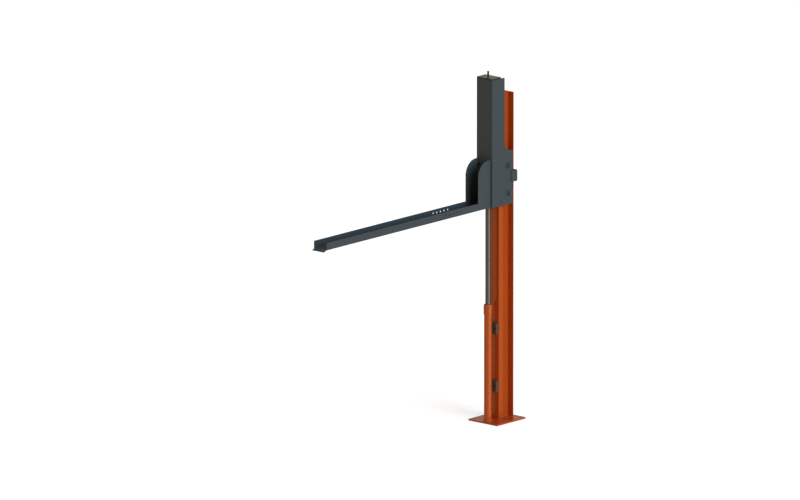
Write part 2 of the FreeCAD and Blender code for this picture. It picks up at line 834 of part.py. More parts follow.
def platform_bolts():
    bolts = []
    head_y = back_plate_front_y - platform_washer_thick
    shank = (carriage_inner_y + platform_nut_height + platform_bolt_tip) - head_y
    for start in platform_bolt_places(head_y):
        head = hexagon_along(platform_bolt_flats, start, FRONT, platform_bolt_head)
        bolts.append(head.fuse(rod_along(platform_bolt_d / 2, start, BACK, shank)).removeSplitter())
    return group(bolts)


def platform_washers():
    places = platform_bolt_places(back_plate_front_y)
    return group([ring_along(platform_washer_d / 2, platform_bolt_d / 2, start, FRONT,
                             platform_washer_thick) for start in places])


def platform_nuts():
    places = platform_bolt_places(carriage_inner_y)
    return group([nut_along(platform_bolt_flats, platform_bolt_d, start, BACK, platform_nut_height)
                  for start in places])


def all_nodes():
    nodes = {
        "base_plate": base_plate(),
        "post_column": post_column(),
        "cylinder_barrel": cylinder_barrel(),
        "cylinder_foot": cylinder_foot(),
        "cylinder_gland": cylinder_gland(),
        "gland_seal": gland_seal(),
        "gland_wiper": gland_wiper(),
        "oil_inlet": oil_inlet(),
        "cylinder_bracket_lower": cylinder_bracket(bracket_mid_zs[0]),
        "cylinder_bracket_upper": cylinder_bracket(bracket_mid_zs[1]),
        "bracket_screws": bracket_screws(),
        "stage_tube": stage_tube(),
        "stage_piston": stage_piston(),
        "stage_piston_ring": stage_piston_ring(),
        "stage_head": stage_head(),
        "stage_head_seal": stage_head_seal(),
        "lift_rod": lift_rod(),
        "rod_foot": rod_foot(),
        "rod_nut": rod_nut(),
        "rod_washer": rod_washer(),
        "carriage_front_plate": carriage_front_plate(),
        "carriage_top_cap": carriage_top_cap(),
        "roller_axles": at_every_axle(roller_axle),
        "axle_circlips": at_every_axle(axle_circlip),
        "axle_collars": at_every_axle(axle_collar),
        "axle_nuts": at_every_axle(axle_nut),
        "guide_pads_lower": guide_pads(lower_pad_mid),
        "guide_pads_upper": guide_pads(upper_pad_mid),
        "guide_pad_screws": guide_pad_screws(),
        "rear_yoke": rear_yoke(),
        "yoke_pad": yoke_pad(),
        "yoke_screws": yoke_screws(),
        "platform_channel": platform_channel(),
        "platform_back_plate": platform_back_plate(),
        "platform_bolts": platform_bolts(),
        "platform_washers": platform_washers(),
        "platform_nuts": platform_nuts(),
    }
    for name, side in SIDES.items():
        nodes["carriage_side_" + name] = carriage_side(side)
        nodes["platform_upstand_" + name] = platform_upstand(side)
        for place in ROLLER_PLACES:
            nodes["roller_" + place + "_" + name] = roller(side, place)
            nodes["bearings_" + place + "_" + name] = roller_bearings(side, place)
    return nodes


os.makedirs("parts", exist_ok=True)
for node_name, shape in all_nodes().items():
    shape.exportStep("parts/" + node_name + ".step")
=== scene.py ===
import json
import math

import bpy
from bpy.props import FloatProperty, FloatVectorProperty, IntProperty, PointerProperty
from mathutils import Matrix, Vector

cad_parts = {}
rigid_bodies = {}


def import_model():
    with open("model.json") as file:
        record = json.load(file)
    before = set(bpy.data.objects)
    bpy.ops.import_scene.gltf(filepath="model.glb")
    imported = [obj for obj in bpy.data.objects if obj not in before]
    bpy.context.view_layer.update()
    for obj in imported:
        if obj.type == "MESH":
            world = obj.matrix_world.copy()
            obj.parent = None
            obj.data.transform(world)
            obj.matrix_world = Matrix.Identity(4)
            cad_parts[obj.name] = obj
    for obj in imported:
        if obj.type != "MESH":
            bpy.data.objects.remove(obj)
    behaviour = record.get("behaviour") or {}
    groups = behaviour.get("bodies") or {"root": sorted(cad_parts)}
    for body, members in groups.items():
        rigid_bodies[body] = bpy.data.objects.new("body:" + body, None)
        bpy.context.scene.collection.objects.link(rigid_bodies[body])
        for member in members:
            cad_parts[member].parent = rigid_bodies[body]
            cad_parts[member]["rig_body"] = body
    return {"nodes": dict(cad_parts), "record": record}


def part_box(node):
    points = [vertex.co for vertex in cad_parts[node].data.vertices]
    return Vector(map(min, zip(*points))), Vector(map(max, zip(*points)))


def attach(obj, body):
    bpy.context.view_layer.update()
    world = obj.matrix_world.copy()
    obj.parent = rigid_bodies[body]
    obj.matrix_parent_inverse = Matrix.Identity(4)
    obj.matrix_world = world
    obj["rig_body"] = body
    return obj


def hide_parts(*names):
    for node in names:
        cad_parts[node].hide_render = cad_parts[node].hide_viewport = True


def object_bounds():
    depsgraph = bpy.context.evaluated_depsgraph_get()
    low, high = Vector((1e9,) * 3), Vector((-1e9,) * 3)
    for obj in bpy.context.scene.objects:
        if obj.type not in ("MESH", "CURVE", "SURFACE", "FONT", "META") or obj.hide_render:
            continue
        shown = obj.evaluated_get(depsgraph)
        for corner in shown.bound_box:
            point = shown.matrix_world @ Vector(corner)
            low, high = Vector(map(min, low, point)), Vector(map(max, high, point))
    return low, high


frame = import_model()
cad_low, cad_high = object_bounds()

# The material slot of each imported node
SLOTS = {part["node"]: part["material_slot"] for part in frame["record"]["subparts"]}

bl_info = {
    "name": "Parking Lift Finisher",
    "version": (1, 0, 0),
    "blender": (4, 5, 0),
    "location": "View3D > Sidebar > Lift",
    "description": "Rounds, welds, threads and paints a single-post parking lift",
    "category": "Add Mesh",
}

# Directions
RIGHT = Vector((1, 0, 0))
BACK = Vector((0, 1, 0))
UP = Vector((0, 0, 1))
SIDES = (-1, 1)

# Sizes that no node's box gives, in metres
FLANGE_THICK = 0.006
WEB_THICK = 0.006
PLATE_THICK = 0.006
SADDLE_WIDTH = 0.016
COLLAR_RADIUS = 0.024
INLET_RADIUS = 0.012
INLET_HEIGHT = 0.027
INLET_TURN = math.radians(150)
SAME_PLACE = 1e-5

# Lift rod, and the stud on its top, which narrows at the tip to a share of its radius
ROD_RADIUS = 0.014
ROD_CHAMFER = 0.0015
STUD_RADIUS = 0.008
STUD_BOTTOM = 2.600
STUD_PITCH = 0.002
STUD_TIP = 0.0015
STUD_TIP_SHARE = 0.8

# Thread: how deep it is and from where to where its crest is flat, as shares of its pitch
THREAD_DEPTH = 0.55
THREAD_CREST = (0.42, 0.58)

# Rise of the normal above which a face looks straight up
LOOKS_UP = 0.9

# Screws of the yoke
YOKE_SCREW_X = 0.025
YOKE_SCREW_HEAD = 0.007
YOKE_SCREW_STEM = 0.004
YOKE_SCREW_SOCKET = 0.0029
YOKE_SOCKET_DEPTH = 0.003

# Bearings: their races, and the seals sunk between them
AXLE_RADIUS = 0.01505
BEARING_WIDTH = 0.014
OUTER_RACE = 0.004
INNER_RACE = 0.005
SEAL_SINK = 0.0007
SEAL_LAND = 0.0004

# A seal's outline: depths as shares of its sink, and steps in lands, inwards off the outer race
# where negative and outwards off the inner race where positive
SEAL_OUTLINE = ((0.4, -1.2), (0.4, -2), (0.8, -3), (0.5, 2), (0.5, 1.2), (1.3, 1.2), (1.3, -1.2))

# Weld ripples: how much shorter they are along the bead, and the share sunk into a wall
RIPPLE_SQUEEZE = 0.28
RIPPLE_BITE = 0.07

# Reach of the flat seam between upstand and channel, as a share of a fine bead's
SEAM_SHARE = 0.6

# Angles below which faces count as one flat face, and above which a corner is sharp
FLAT_ANGLE = math.radians(0.5)
SHARP_ANGLE = math.radians(35)

# Values that most of a noise texture stays between
NOISE_RANGE = (0.3, 0.7)

# Width of the camera's sensor, in millimetres
SENSOR_WIDTH = 36

# How far off a lamp of parallel light is placed, which makes no difference to its light
LAMP_DISTANCE = 10

# Share of the white background that reflections show
MIRRORED_BACKGROUND = 0.2

# Pieces in which the standing lamp shines
GLINT_MIRRORS = ("cylinder_barrel", "cylinder_gland", "cylinder_foot", "stage_tube", "stage_head")


def linear_colour(red, green, blue):
    """Scene-linear values of a colour given as it looks on a screen, from 0 to 255."""
    shares = (red / 255, green / 255, blue / 255)
    return tuple(s / 12.92 if s <= 0.04045 else ((s + 0.055) / 1.055) ** 2.4 for s in shares)


class LiftPaintSettings(bpy.types.PropertyGroup):
    """Colours and gloss of the finishes."""

    orange: FloatVectorProperty(
        name="Orange", description="Gloss enamel on the post, its plate and the cylinder",
        subtype="COLOR", min=0, max=1, default=linear_colour(178, 74, 24))
    slate: FloatVectorProperty(
        name="Slate", description="Powder coat on the carriage and the wheel channel",
        subtype="COLOR", min=0, max=1, default=linear_colour(58, 69, 76))
    bracket: FloatVectorProperty(
        name="Bracket", description="Dark paint on the cylinder's brackets",
        subtype="COLOR", min=0, max=1, default=linear_colour(84, 70, 60))
    rod: FloatVectorProperty(
        name="Rod", description="Ground steel of the cylinder's moving stage",
        subtype="COLOR", min=0, max=1, default=linear_colour(88, 84, 81))
    steel: FloatVectorProperty(
        name="Steel", description="Bare turned steel of axles and rollers",
        subtype="COLOR", min=0, max=1, default=linear_colour(128, 125, 120))
    primer: FloatVectorProperty(
        name="Primer", description="Coat that shows where the paint is rubbed thin",
        subtype="COLOR", min=0, max=1, default=linear_colour(96, 88, 82))
    enamel_gloss: FloatProperty(
        name="Enamel Roughness", description="Surface roughness of the orange enamel",
        subtype="FACTOR", min=0, max=1, default=0.08)
    coat_gloss: FloatProperty(
        name="Coat Roughness", description="Surface roughness of the slate powder coat",
        subtype="FACTOR", min=0, max=1, default=0.48)


class LiftEdgeSettings(bpy.types.PropertyGroup):
    """How far the corners of each kind of stock are rounded."""

    plate: FloatProperty(
        name="Plate", description="Rounding of cut plate corners",
        subtype="DISTANCE", min=0.0001, max=0.003, default=0.0009)
    section: FloatProperty(
        name="Section", description="Rounding of the rolled post's flange corners",
        subtype="DISTANCE", min=0.0001, max=0.003, default=0.0014)
    sheet: FloatProperty(
        name="Sheet", description="Rounding of folded sheet corners",
        subtype="DISTANCE", min=0.0001, max=0.001, default=0.0005)
    fastener: FloatProperty(
        name="Fastener", description="Rounding of screw, bolt, washer and nut edges",
        subtype="DISTANCE", min=0.0001, max=0.001, default=0.0004)
    steps: IntProperty(
        name="Steps", description="Faces across each rounded corner",
        min=1, max=4, default=2)


class LiftWeldSettings(bpy.types.PropertyGroup):
    """Size and rhythm of the weld beads."""

    leg: FloatProperty(
        name="Leg", description="How far a bead reaches up each wall",
        subtype="DISTANCE", min=0.001, max=0.01, default=0.0045)
    fine_leg: FloatProperty(
        name="Fine Leg", description="Reach of the beads on thin plate and small bosses",
        subtype="DISTANCE", min=0.001, max=0.01, default=0.0032)
    pitch: FloatProperty(
        name="Pitch", description="Distance from one ripple to the next",
        subtype="DISTANCE", min=0.001, max=0.01, default=0.0024)
    foot_leg: FloatProperty(
        name="Foot Leg", description="Reach of the bead round the cylinder's foot",
        subtype="DISTANCE", min=0.001, max=0.01, default=0.007)
    stitch: FloatProperty(
        name="Stitch", description="Length of each short bead inside the carriage",
        subtype="DISTANCE", min=0.01, max=0.2, default=0.04)
    stitch_gap: FloatProperty(
        name="Stitch Gap", description="Bare length between two short beads",
        subtype="DISTANCE", min=0.01, max=0.4, default=0.09)


class LiftStageSettings(bpy.types.PropertyGroup):
    """Floor, lamps and camera."""

    azimuth: FloatProperty(
        name="Azimuth", description="Camera's turn from looking straight back along the channel",
        subtype="ANGLE", default=math.radians(41.09))
    elevation: FloatProperty(
        name="Elevation", description="Camera's height above the horizon",
        subtype="ANGLE", default=math.radians(13.19))
    distance: FloatProperty(
        name="Distance", description="Camera's distance from the lift",
        subtype="DISTANCE", default=160.0)
    picture_width: FloatProperty(
        name="Picture Width", description="Width of what the camera takes in at the lift",
        subtype="DISTANCE", default=5.9595)
    target: FloatVectorProperty(
        name="Target", description="Point in the middle of the picture",
        subtype="TRANSLATION", default=(-0.7343, -0.2574, 1.2289))
    key_strength: FloatProperty(
        name="Key Strength", description="Strength of the main lamp",
        min=0, max=20, default=2.15)
    key_direction: FloatVectorProperty(
        name="Key Direction", description="Where the main lamp stands, seen from the lift",
        subtype="DIRECTION", default=(0.95, -0.1, 0.38))
    key_softness: FloatProperty(
        name="Key Softness", description="Angle that the main lamp and the lamp behind fill",
        subtype="ANGLE", default=math.radians(42))
    key_colour: FloatVectorProperty(
        name="Key Colour", description="Colour of the main lamp's cool light",
        subtype="COLOR", min=0, max=2, default=(0.84, 1.0, 1.2))
    back_strength: FloatProperty(
        name="Back Strength", description="Strength of the lamp behind, which gives no shine",
        min=0, max=20, default=2.0)
    back_direction: FloatVectorProperty(
        name="Back Direction", description="Where the lamp behind stands, seen from the lift",
        subtype="DIRECTION", default=(-0.7, 0.7, 0.06))
    fill: FloatProperty(
        name="Fill", description="Strength of the even light from all sides",
        min=0, max=2, default=0.26)
    fill_colour: FloatVectorProperty(
        name="Fill Colour", description="Colour of the warm light from all sides",
        subtype="COLOR", min=0, max=2, default=(1.4, 1.05, 0.72))
    glint_power: FloatProperty(
        name="Glint Power", description="Power of the standing lamp that shines in round surfaces",
        min=0, max=200, default=2.0)
    glint_direction: FloatVectorProperty(
        name="Glint Direction", description="Where the standing lamp is, seen from the cylinder",
        subtype="DIRECTION", default=(1.0, 0.05, 0.0))
    glint_distance: FloatProperty(
        name="Glint Distance", description="From the cylinder to the standing lamp",
        subtype="DISTANCE", default=0.22)
    glint_width: FloatProperty(
        name="Glint Width", description="Width of the standing lamp",
        subtype="DISTANCE", default=0.2)
    glint_height: FloatProperty(
        name="Glint Height", description="Height of the standing lamp",
        subtype="DISTANCE", default=1.6)
    floor_size: FloatProperty(
        name="Floor Size", description="Side of the square floor",
        subtype="DISTANCE", default=80.0)
    floor_colour: FloatVectorProperty(
        name="Floor Colour", description="Colour of the light that the floor throws back",
        subtype="COLOR", min=0, max=1, default=(0.95, 0.84, 0.6))
    floor_glow: FloatVectorProperty(
        name="Floor Glow", description="Light of its own that makes the floor look white",
        subtype="COLOR", min=0, max=2, default=(0.48, 0.59, 0.72))


# Selecting and editing by place

def deselect_all():
    bpy.ops.object.select_all(action="DESELECT")


def make_active(piece):
    deselect_all()
    piece.select_set(True)
    bpy.context.view_layer.objects.active = piece


def new_piece(name):
    """The object that a primitive operator has just added, renamed."""
    piece = bpy.context.active_object
    piece.name = name
    piece.data.name = name
    return piece


def settled_piece(name):
    """The object that a primitive operator has just added, with its place in its mesh."""
    piece = new_piece(name)
    make_active(piece)
    bpy.ops.object.transform_apply(location=True, rotation=True, scale=True)
    return piece


def edit_mode(piece, mode="FACE"):
    make_active(piece)
    bpy.ops.object.mode_set(mode="EDIT")
    bpy.ops.mesh.select_mode(type=mode)


def select_all():
    bpy.ops.mesh.select_all(action="SELECT")


def edit_all(piece, mode="FACE"):
    edit_mode(piece, mode)
    select_all()


def object_mode():
    bpy.ops.object.mode_set(mode="OBJECT")


def select_faces(piece, test):
    """Selects the faces whose centre and normal pass a test, and returns to edit mode."""
    make_active(piece)
    mesh = piece.data
    for part in (mesh.vertices, mesh.edges, mesh.polygons):
        part.foreach_set("select", [False] * len(part))
    for face in mesh.polygons:
        face.select = test(face.center, face.normal)
    edit_mode(piece)


def apply_modifier(piece, kind, **settings):
    make_active(piece)
    modifier = piece.modifiers.new(kind.title(), kind)
    for name, value in settings.items():
        setattr(modifier, name, value)
    bpy.ops.object.modifier_apply(modifier=modifier.name)


def shade(piece, angle=30):
    make_active(piece)
    bpy.ops.object.shade_smooth_by_angle(angle=math.radians(angle))


def join(name, pieces):
    """One piece from several, under a new name."""
    make_active(pieces[0])
    for piece in pieces[1:]:
        piece.select_set(True)
    if len(pieces) > 1:
        bpy.ops.object.join()
    return new_piece(name)


def finish_piece(piece, body, slot, replaced=(), material=None):
    """Paints a piece, puts it on the body that carries it and hides the nodes it stands in for."""
    piece.data.materials.clear()
    piece.data.materials.append(material or finish(SLOT_FINISHES[slot]))
    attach(piece, body)
    if replaced:
        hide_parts(*replaced)


def middle(node):
    """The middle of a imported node's box."""
    low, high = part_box(node)
    return (low + high) / 2


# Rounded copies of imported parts

def rounded_copy(node, width):
    """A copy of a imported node, its loose triangles merged and its sharp corners rounded."""
    piece = bpy.data.objects.new(node + "_finished", frame["nodes"][node].data.copy())
    bpy.context.scene.collection.objects.link(piece)
    edit_all(piece)
    bpy.ops.mesh.customdata_custom_splitnormals_clear()
    bpy.ops.mesh.remove_doubles(threshold=SAME_PLACE)
    bpy.ops.mesh.dissolve_limited(angle_limit=FLAT_ANGLE)
    object_mode()
    shade(piece)
    # Sliding along a flat edge that leaves a corner at a small angle would tear the face
    apply_modifier(piece, "BEVEL", width=width, segments=bpy.context.scene.lift_edges.steps,
                   limit_method="ANGLE", angle_limit=SHARP_ANGLE, use_clamp_overlap=False,
                   loop_slide=False)
    shade(piece, angle=50)
    apply_modifier(piece, "WEIGHTED_NORMAL", keep_sharp=True)
    return piece


def round_parts(stock, *nodes):
    """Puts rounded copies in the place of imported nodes. The stock names the width's setting."""
    width = getattr(bpy.context.scene.lift_edges, stock)
    for node in nodes:
        body = frame["nodes"][node]["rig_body"]
        finish_piece(rounded_copy(node, width), body, SLOTS[node], [node], node_finish(node))


# Weld beads

def weld_ripple(corner, along, walls, leg):
    """One ripple of a bead: a flattened ball in the corner of two walls, cut just inside them."""
    bpy.ops.mesh.primitive_uv_sphere_add(segments=12, ring_count=8, radius=leg, location=corner)
    ripple = settled_piece("bead")
    edit_all(ripple)
    squeeze = [1 - RIPPLE_SQUEEZE * abs(share) for share in along]
    bpy.ops.transform.resize(value=squeeze, center_override=corner)
    for wall in walls:
        select_all()
        inside = corner - wall * leg * RIPPLE_BITE
        bpy.ops.mesh.bisect(plane_co=inside, plane_no=wall, clear_inner=True, use_fill=True,
                            threshold=SAME_PLACE)
    object_mode()
    return ripple


def weld_line(start, end, walls, leg):
    """A straight bead from one point of a corner to another."""
    along = (end - start).normalized()
    first, last = start + along * leg / 2, end - along * leg / 2
    steps = max(1, round((last - first).length / bpy.context.scene.lift_welds.pitch))
    bead = weld_ripple(first, along, walls, leg)
    apply_modifier(bead, "ARRAY", count=steps + 1, use_relative_offset=False,
                   use_constant_offset=True, constant_offset_displace=(last - first) / steps)
    return bead


def weld_pair(start, end, walls, leg):
    """A straight bead on the right, and its mirror image on the left."""
    beads = []
    for side in SIDES:
        first, last, *faces = (Vector((side * x, y, z)) for x, y, z in (start, end, *walls))
        beads.append(weld_line(first, last, faces, leg))
    return beads


def weld_ring(centre, axis, radius, leg):
    """A bead round a boss that stands on a face. The boss points along the axis."""
    outward = UP if axis.z == 0 else RIGHT
    corner = centre + outward * radius
    ripple = weld_ripple(corner, axis.cross(outward), (axis, outward), leg)
    count = round(math.tau * radius / bpy.context.scene.lift_welds.pitch)
    edit_all(ripple)
    bpy.ops.mesh.spin(steps=count - 1, dupli=True, angle=math.tau * (count - 1) / count,
                      center=centre, axis=axis)
    object_mode()
    return ripple


def finish_beads(name, beads, body, slot, material=None):
    piece = join(name, beads)
    shade(piece, angle=60)
    finish_piece(piece, body, slot, material=material)


# Turned rings and threads

def turned_ring(name, outline, centre):
    """A ring about an axis along X, from a closed outline of (x, radius) points."""
    bpy.ops.mesh.primitive_circle_add(vertices=len(outline), radius=0.01, location=centre)
    ring = settled_piece(name)
    for vertex, (x, radius) in zip(ring.data.vertices, outline):
        vertex.co = centre + RIGHT * x + UP * radius
    edit_all(ring, "VERT")
    bpy.ops.mesh.spin(steps=64, angle=math.tau, center=centre, axis=RIGHT)
    select_all()
    bpy.ops.mesh.remove_doubles(threshold=SAME_PLACE)
    bpy.ops.mesh.normals_make_consistent(inside=False)
    object_mode()
    return ring


def thread(name, radius, pitch, low, high, axis_point):
    """A screw thread upwards along Z, made by winding one tooth and cutting both ends flat."""
    bpy.ops.mesh.primitive_plane_add(size=pitch, location=axis_point)
    tooth = settled_piece(name)
    root = radius - pitch * THREAD_DEPTH
    crest_low, crest_high = (pitch * share for share in THREAD_CREST)
    outline = [(root, 0), (radius, crest_low), (radius, crest_high), (root, pitch)]
    # The plane's corners run round it in the order 0, 1, 3, 2
    for corner, (out, rise) in zip((0, 1, 3, 2), outline):
        place = Vector((axis_point[0] + out, axis_point[1], low - pitch + rise))
        tooth.data.vertices[corner].co = place
    # The edge from root to root goes, and the face with it: the tooth winds as an open outline
    tooth.data.polygons[0].select = False
    for vertex in tooth.data.vertices:
        vertex.select = vertex.index in (0, 2)
    for edge in tooth.data.edges:
        edge.select = set(edge.vertices) == {0, 2}
    edit_mode(tooth, "EDGE")
    bpy.ops.mesh.delete(type="EDGE")
    object_mode()
    spare_turns = 2
    turns = math.ceil((high - low) / pitch) + spare_turns
    centre = bpy.data.objects.new("thread_centre", None)
    bpy.context.scene.collection.objects.link(centre)
    centre.location = axis_point
    bpy.context.view_layer.update()
    apply_modifier(tooth, "SCREW", axis="Z", object=centre, angle=math.tau, screw_offset=pitch,
                   iterations=turns, steps=24, render_steps=24, use_merge_vertices=True,
                   merge_threshold=SAME_PLACE)
    bpy.data.objects.remove(centre)
    edit_all(tooth)
    bpy.ops.mesh.remove_doubles(threshold=SAME_PLACE)
    for z, cleared in ((low, "clear_inner"), (high, "clear_outer")):
        bpy.ops.mesh.bisect(plane_co=(0, 0, z), plane_no=UP, use_fill=True,
                            threshold=SAME_PLACE, **{cleared: True})
        select_all()
    bpy.ops.mesh.normals_make_consistent(inside=False)
    object_mode()
    return tooth


# Shader building blocks

def add_node(tree, kind, inputs=None, **settings):
    """Adds a shader node. An input is given as a number or as another node's output."""
    node = tree.nodes.new("ShaderNode" + kind)
    for name, value in settings.items():
        setattr(node, name, value)
    for name, value in (inputs or {}).items():
        if isinstance(value, bpy.types.NodeSocket):
            tree.links.new(value, node.inputs[name])
        else:
            node.inputs[name].default_value = value
    return node


def maths(tree, operation, first, second=0.0, clamp=False):
    inputs = {0: first, 1: second}
    return add_node(tree, "Math", inputs, operation=operation, use_clamp=clamp).outputs[0]


def remap(tree, value, low, high, to_low=0.0, to_high=1.0):
    inputs = {"Value": value, "From Min": low, "From Max": high, "To Min": to_low,
              "To Max": to_high}
    return add_node(tree, "MapRange", inputs).outputs["Result"]


def mixed_colour(tree, share, first, second):
    """A colour that goes from the first to the second with the share."""
    # Sockets 0, 6 and 7 are the factor and the two colours; output 2 is the colour
    node = add_node(tree, "Mix", {0: share, 6: first, 7: second}, data_type="RGBA")
    return node.outputs[2]


def opaque(colour):
    return (*colour, 1.0)


def object_point(tree, scale=(1, 1, 1)):
    place = add_node(tree, "TexCoord").outputs["Object"]
    return add_node(tree, "VectorMath", {0: place, 1: scale}, operation="MULTIPLY").outputs[0]


def noise(tree, place, scale, detail, roughness=0.5):
    inputs = {"Vector": place, "Scale": scale, "Detail": detail, "Roughness": roughness}
    return add_node(tree, "TexNoise", inputs).outputs["Fac"]


def surface_normal(tree):
    return add_node(tree, "NewGeometry").outputs["Normal"]


def upward(tree):
    """Rise of the surface's normal: 1 where it looks up and 0 where it stands upright."""
    return add_node(tree, "SeparateXYZ", {0: surface_normal(tree)}).outputs["Z"]


def new_group(name, inputs, outputs):
    """An empty node group with named number or vector sockets."""
    tree = bpy.data.node_groups.new(name, "ShaderNodeTree")
    for label, default in inputs.items():
        kind = "NodeSocketFloat" if isinstance(default, float) else "NodeSocketVector"
        socket = tree.interface.new_socket(label, in_out="INPUT", socket_type=kind)
        socket.default_value = default
    for label in outputs:
        tree.interface.new_socket(label, in_out="OUTPUT", socket_type="NodeSocketFloat")
    given = tree.nodes.new("NodeGroupInput").outputs
    return tree, given, tree.nodes.new("NodeGroupOutput").inputs


def use_group(tree, build, **inputs):
    """Places a shared group in a material, building it the first time."""
    name = build.__name__
    group = bpy.data.node_groups.get(name) or build(name)
    node = tree.nodes.new("ShaderNodeGroup")
    node.node_tree = group
    for label, value in inputs.items():
        node.inputs[label.replace("_", " ").title()].default_value = value
    return node.outputs


def edge_wear(name):
    """Sharp corners, broken up, where paint is rubbed thin."""
    inputs = {"Radius": 0.001, "Breakup": 120.0, "Amount": 0.5}
    tree, given, made = new_group(name, inputs, ["Mask"])
    rounded = add_node(tree, "Bevel", {"Radius": given["Radius"]}, samples=4).outputs[0]
    both = {0: rounded, 1: surface_normal(tree)}
    same = add_node(tree, "VectorMath", both, operation="DOT_PRODUCT").outputs["Value"]
    corner = remap(tree, maths(tree, "SUBTRACT", 1.0, same), low=0.01, high=0.16)
    patches = noise(tree, object_point(tree), given["Breakup"], detail=3.0, roughness=0.6)
    kept = remap(tree, patches, maths(tree, "SUBTRACT", 1.0, given["Amount"]), 1.0)
    tree.links.new(maths(tree, "MULTIPLY", corner, kept, clamp=True), made["Mask"])
    return tree


def paint_skin(name):
    """A sprayed coat: uneven tone from place to place and a fine pebbled skin."""
    inputs = {"Tone Scale": 4.0, "Tone Depth": 0.06, "Skin Scale": 500.0}
    tree, given, made = new_group(name, inputs, ["Tone", "Height"])
    place = object_point(tree)
    cloud = noise(tree, place, given["Tone Scale"], detail=3.0)
    drift = maths(tree, "SUBTRACT", cloud, 0.5)
    tone = maths(tree, "ADD", maths(tree, "MULTIPLY", drift, given["Tone Depth"]), 1.0)
    tree.links.new(tone, made["Tone"])
    tree.links.new(noise(tree, place, given["Skin Scale"], detail=2.0), made["Height"])
    return tree


def settled_dust(name):
    """Thin dust on faces that look up, thicker in patches."""
    tree, given, made = new_group(name, {"Patch Scale": 18.0, "Amount": 0.3}, ["Mask"])
    facing = remap(tree, upward(tree), low=0.55, high=1.0)
    cloud = noise(tree, object_point(tree), given["Patch Scale"], detail=5.0, roughness=0.65)
    layer = maths(tree, "MULTIPLY", facing, remap(tree, cloud, low=0.3, high=0.75))
    tree.links.new(maths(tree, "MULTIPLY", layer, given["Amount"], clamp=True), made["Mask"])
    return tree


def fine_lines(name):
    """Lines across a turned, ground or rolled surface. The vector gives lines per metre."""
    tree, given, made = new_group(name, {"Lines": (0.0, 0.0, 900.0)}, ["Value"])
    stretched = object_point(tree, given["Lines"])
    lines = noise(tree, stretched, scale=1.0, detail=4.0, roughness=0.7)
    tree.links.new(lines, made["Value"])
    return tree


def rub_marks(name):
    """Long thin scuffs along one direction, on faces that look up."""
    inputs = {"Lines": (260.0, 5.0, 40.0), "Amount": 0.5}
    tree, given, made = new_group(name, inputs, ["Mask"])
    stretched = object_point(tree, given["Lines"])
    streaks = noise(tree, stretched, scale=1.0, detail=5.0, roughness=0.75)
    streaks = remap(tree, streaks, low=0.52, high=0.72)
    patches = noise(tree, object_point(tree), scale=7.0, detail=2.0)
    patches = remap(tree, patches, low=0.38, high=0.66)
    facing = remap(tree, upward(tree), low=0.8, high=1.0)
    marks = maths(tree, "MULTIPLY", maths(tree, "MULTIPLY", streaks, patches), facing)
    tree.links.new(maths(tree, "MULTIPLY", marks, given["Amount"], clamp=True), made["Mask"])
    return tree


# Sockets of the shader whose value is the same all over a surface
SOCKETS = {
    "metallic": "Metallic",
    "shine": "Specular IOR Level",
    "shine_tint": "Specular Tint",
}


def new_material(name, **sockets):
    """A material, its node tree and its Principled shader with the uniform values set."""
    material = bpy.data.materials.new(name)
    material.use_nodes = True
    tree = material.node_tree
    shader = next(n for n in tree.nodes if n.type == "BSDF_PRINCIPLED")
    for label, value in sockets.items():
        shader.inputs[SOCKETS[label]].default_value = value
    return material, tree, shader


def connect(tree, shader, colour, roughness, height, depth):
    """Feeds a colour, a roughness and a bump to a material's shader."""
    tree.links.new(colour, shader.inputs["Base Color"])
    tree.links.new(roughness, shader.inputs["Roughness"])
    bump = add_node(tree, "Bump", {"Height": height, "Distance": depth, "Strength": 1.0})
    tree.links.new(bump.outputs[0], shader.inputs["Normal"])


def toned(tree, colour, tone):
    """A colour made lighter or darker by a tone round 1."""
    inputs = {"Color": opaque(colour), "Value": tone}
    return add_node(tree, "HueSaturation", inputs).outputs["Color"]


# Finishes

def layered(name, base, skin, gloss, bump, lines=None, stain=None, stained=None, wear=None,
            worn=None, dust=None, powder=None, dulling=0.0, **sockets):
    """A material whose base colour lies under a stain, rubbed corners and dust.

    The skin, wear and dust hold the values of their groups. The stain is a function that gives
    its mask. Stained, worn and powder are the colours over the base. The gloss runs between two
    roughnesses with the skin, or with lines where given, and the dust can dull it. The bump is
    the depth of the same relief.
    """
    material, tree, shader = new_material(name, **sockets)
    coat = use_group(tree, paint_skin, **skin)
    relief = use_group(tree, fine_lines, lines=lines)["Value"] if lines else coat["Height"]
    roughness = remap(tree, relief, *NOISE_RANGE, *gloss)
    layers = []
    if stain:
        layers.append((stain(tree, coat), stained))
    if wear:
        layers.append((use_group(tree, edge_wear, **wear)["Mask"], worn))
    if dust:
        dusty = use_group(tree, settled_dust, **dust)["Mask"]
        layers.append((dusty, powder))
        if dulling:
            roughness = maths(tree, "ADD", roughness, maths(tree, "MULTIPLY", dusty, dulling))
    colour = toned(tree, base, coat["Tone"])
    for mask, over in layers:
        colour = mixed_colour(tree, mask, colour, opaque(over))
    connect(tree, shader, colour, roughness, relief, bump)
    return material


ENAMEL = {
    "shine": 0.5,
    "shine_tint": (1.0, 0.65, 0.35, 1.0),
    "powder": linear_colour(150, 128, 112),
    "dulling": 0.5,
}


def orange_enamel(name):
    """Gloss enamel, slightly pebbled, dulled by dust and thin on its corners."""
    paint = bpy.context.scene.lift_paint
    return layered(
        name, paint.orange, worn=paint.primer, bump=0.00003,
        gloss=(paint.enamel_gloss - 0.03, paint.enamel_gloss + 0.04),
        skin={"tone_scale": 3.5, "tone_depth": 0.16, "skin_scale": 420.0},
        wear={"radius": 0.0012, "breakup": 150.0, "amount": 0.42},
        dust={"patch_scale": 22.0, "amount": 0.22}, **ENAMEL)


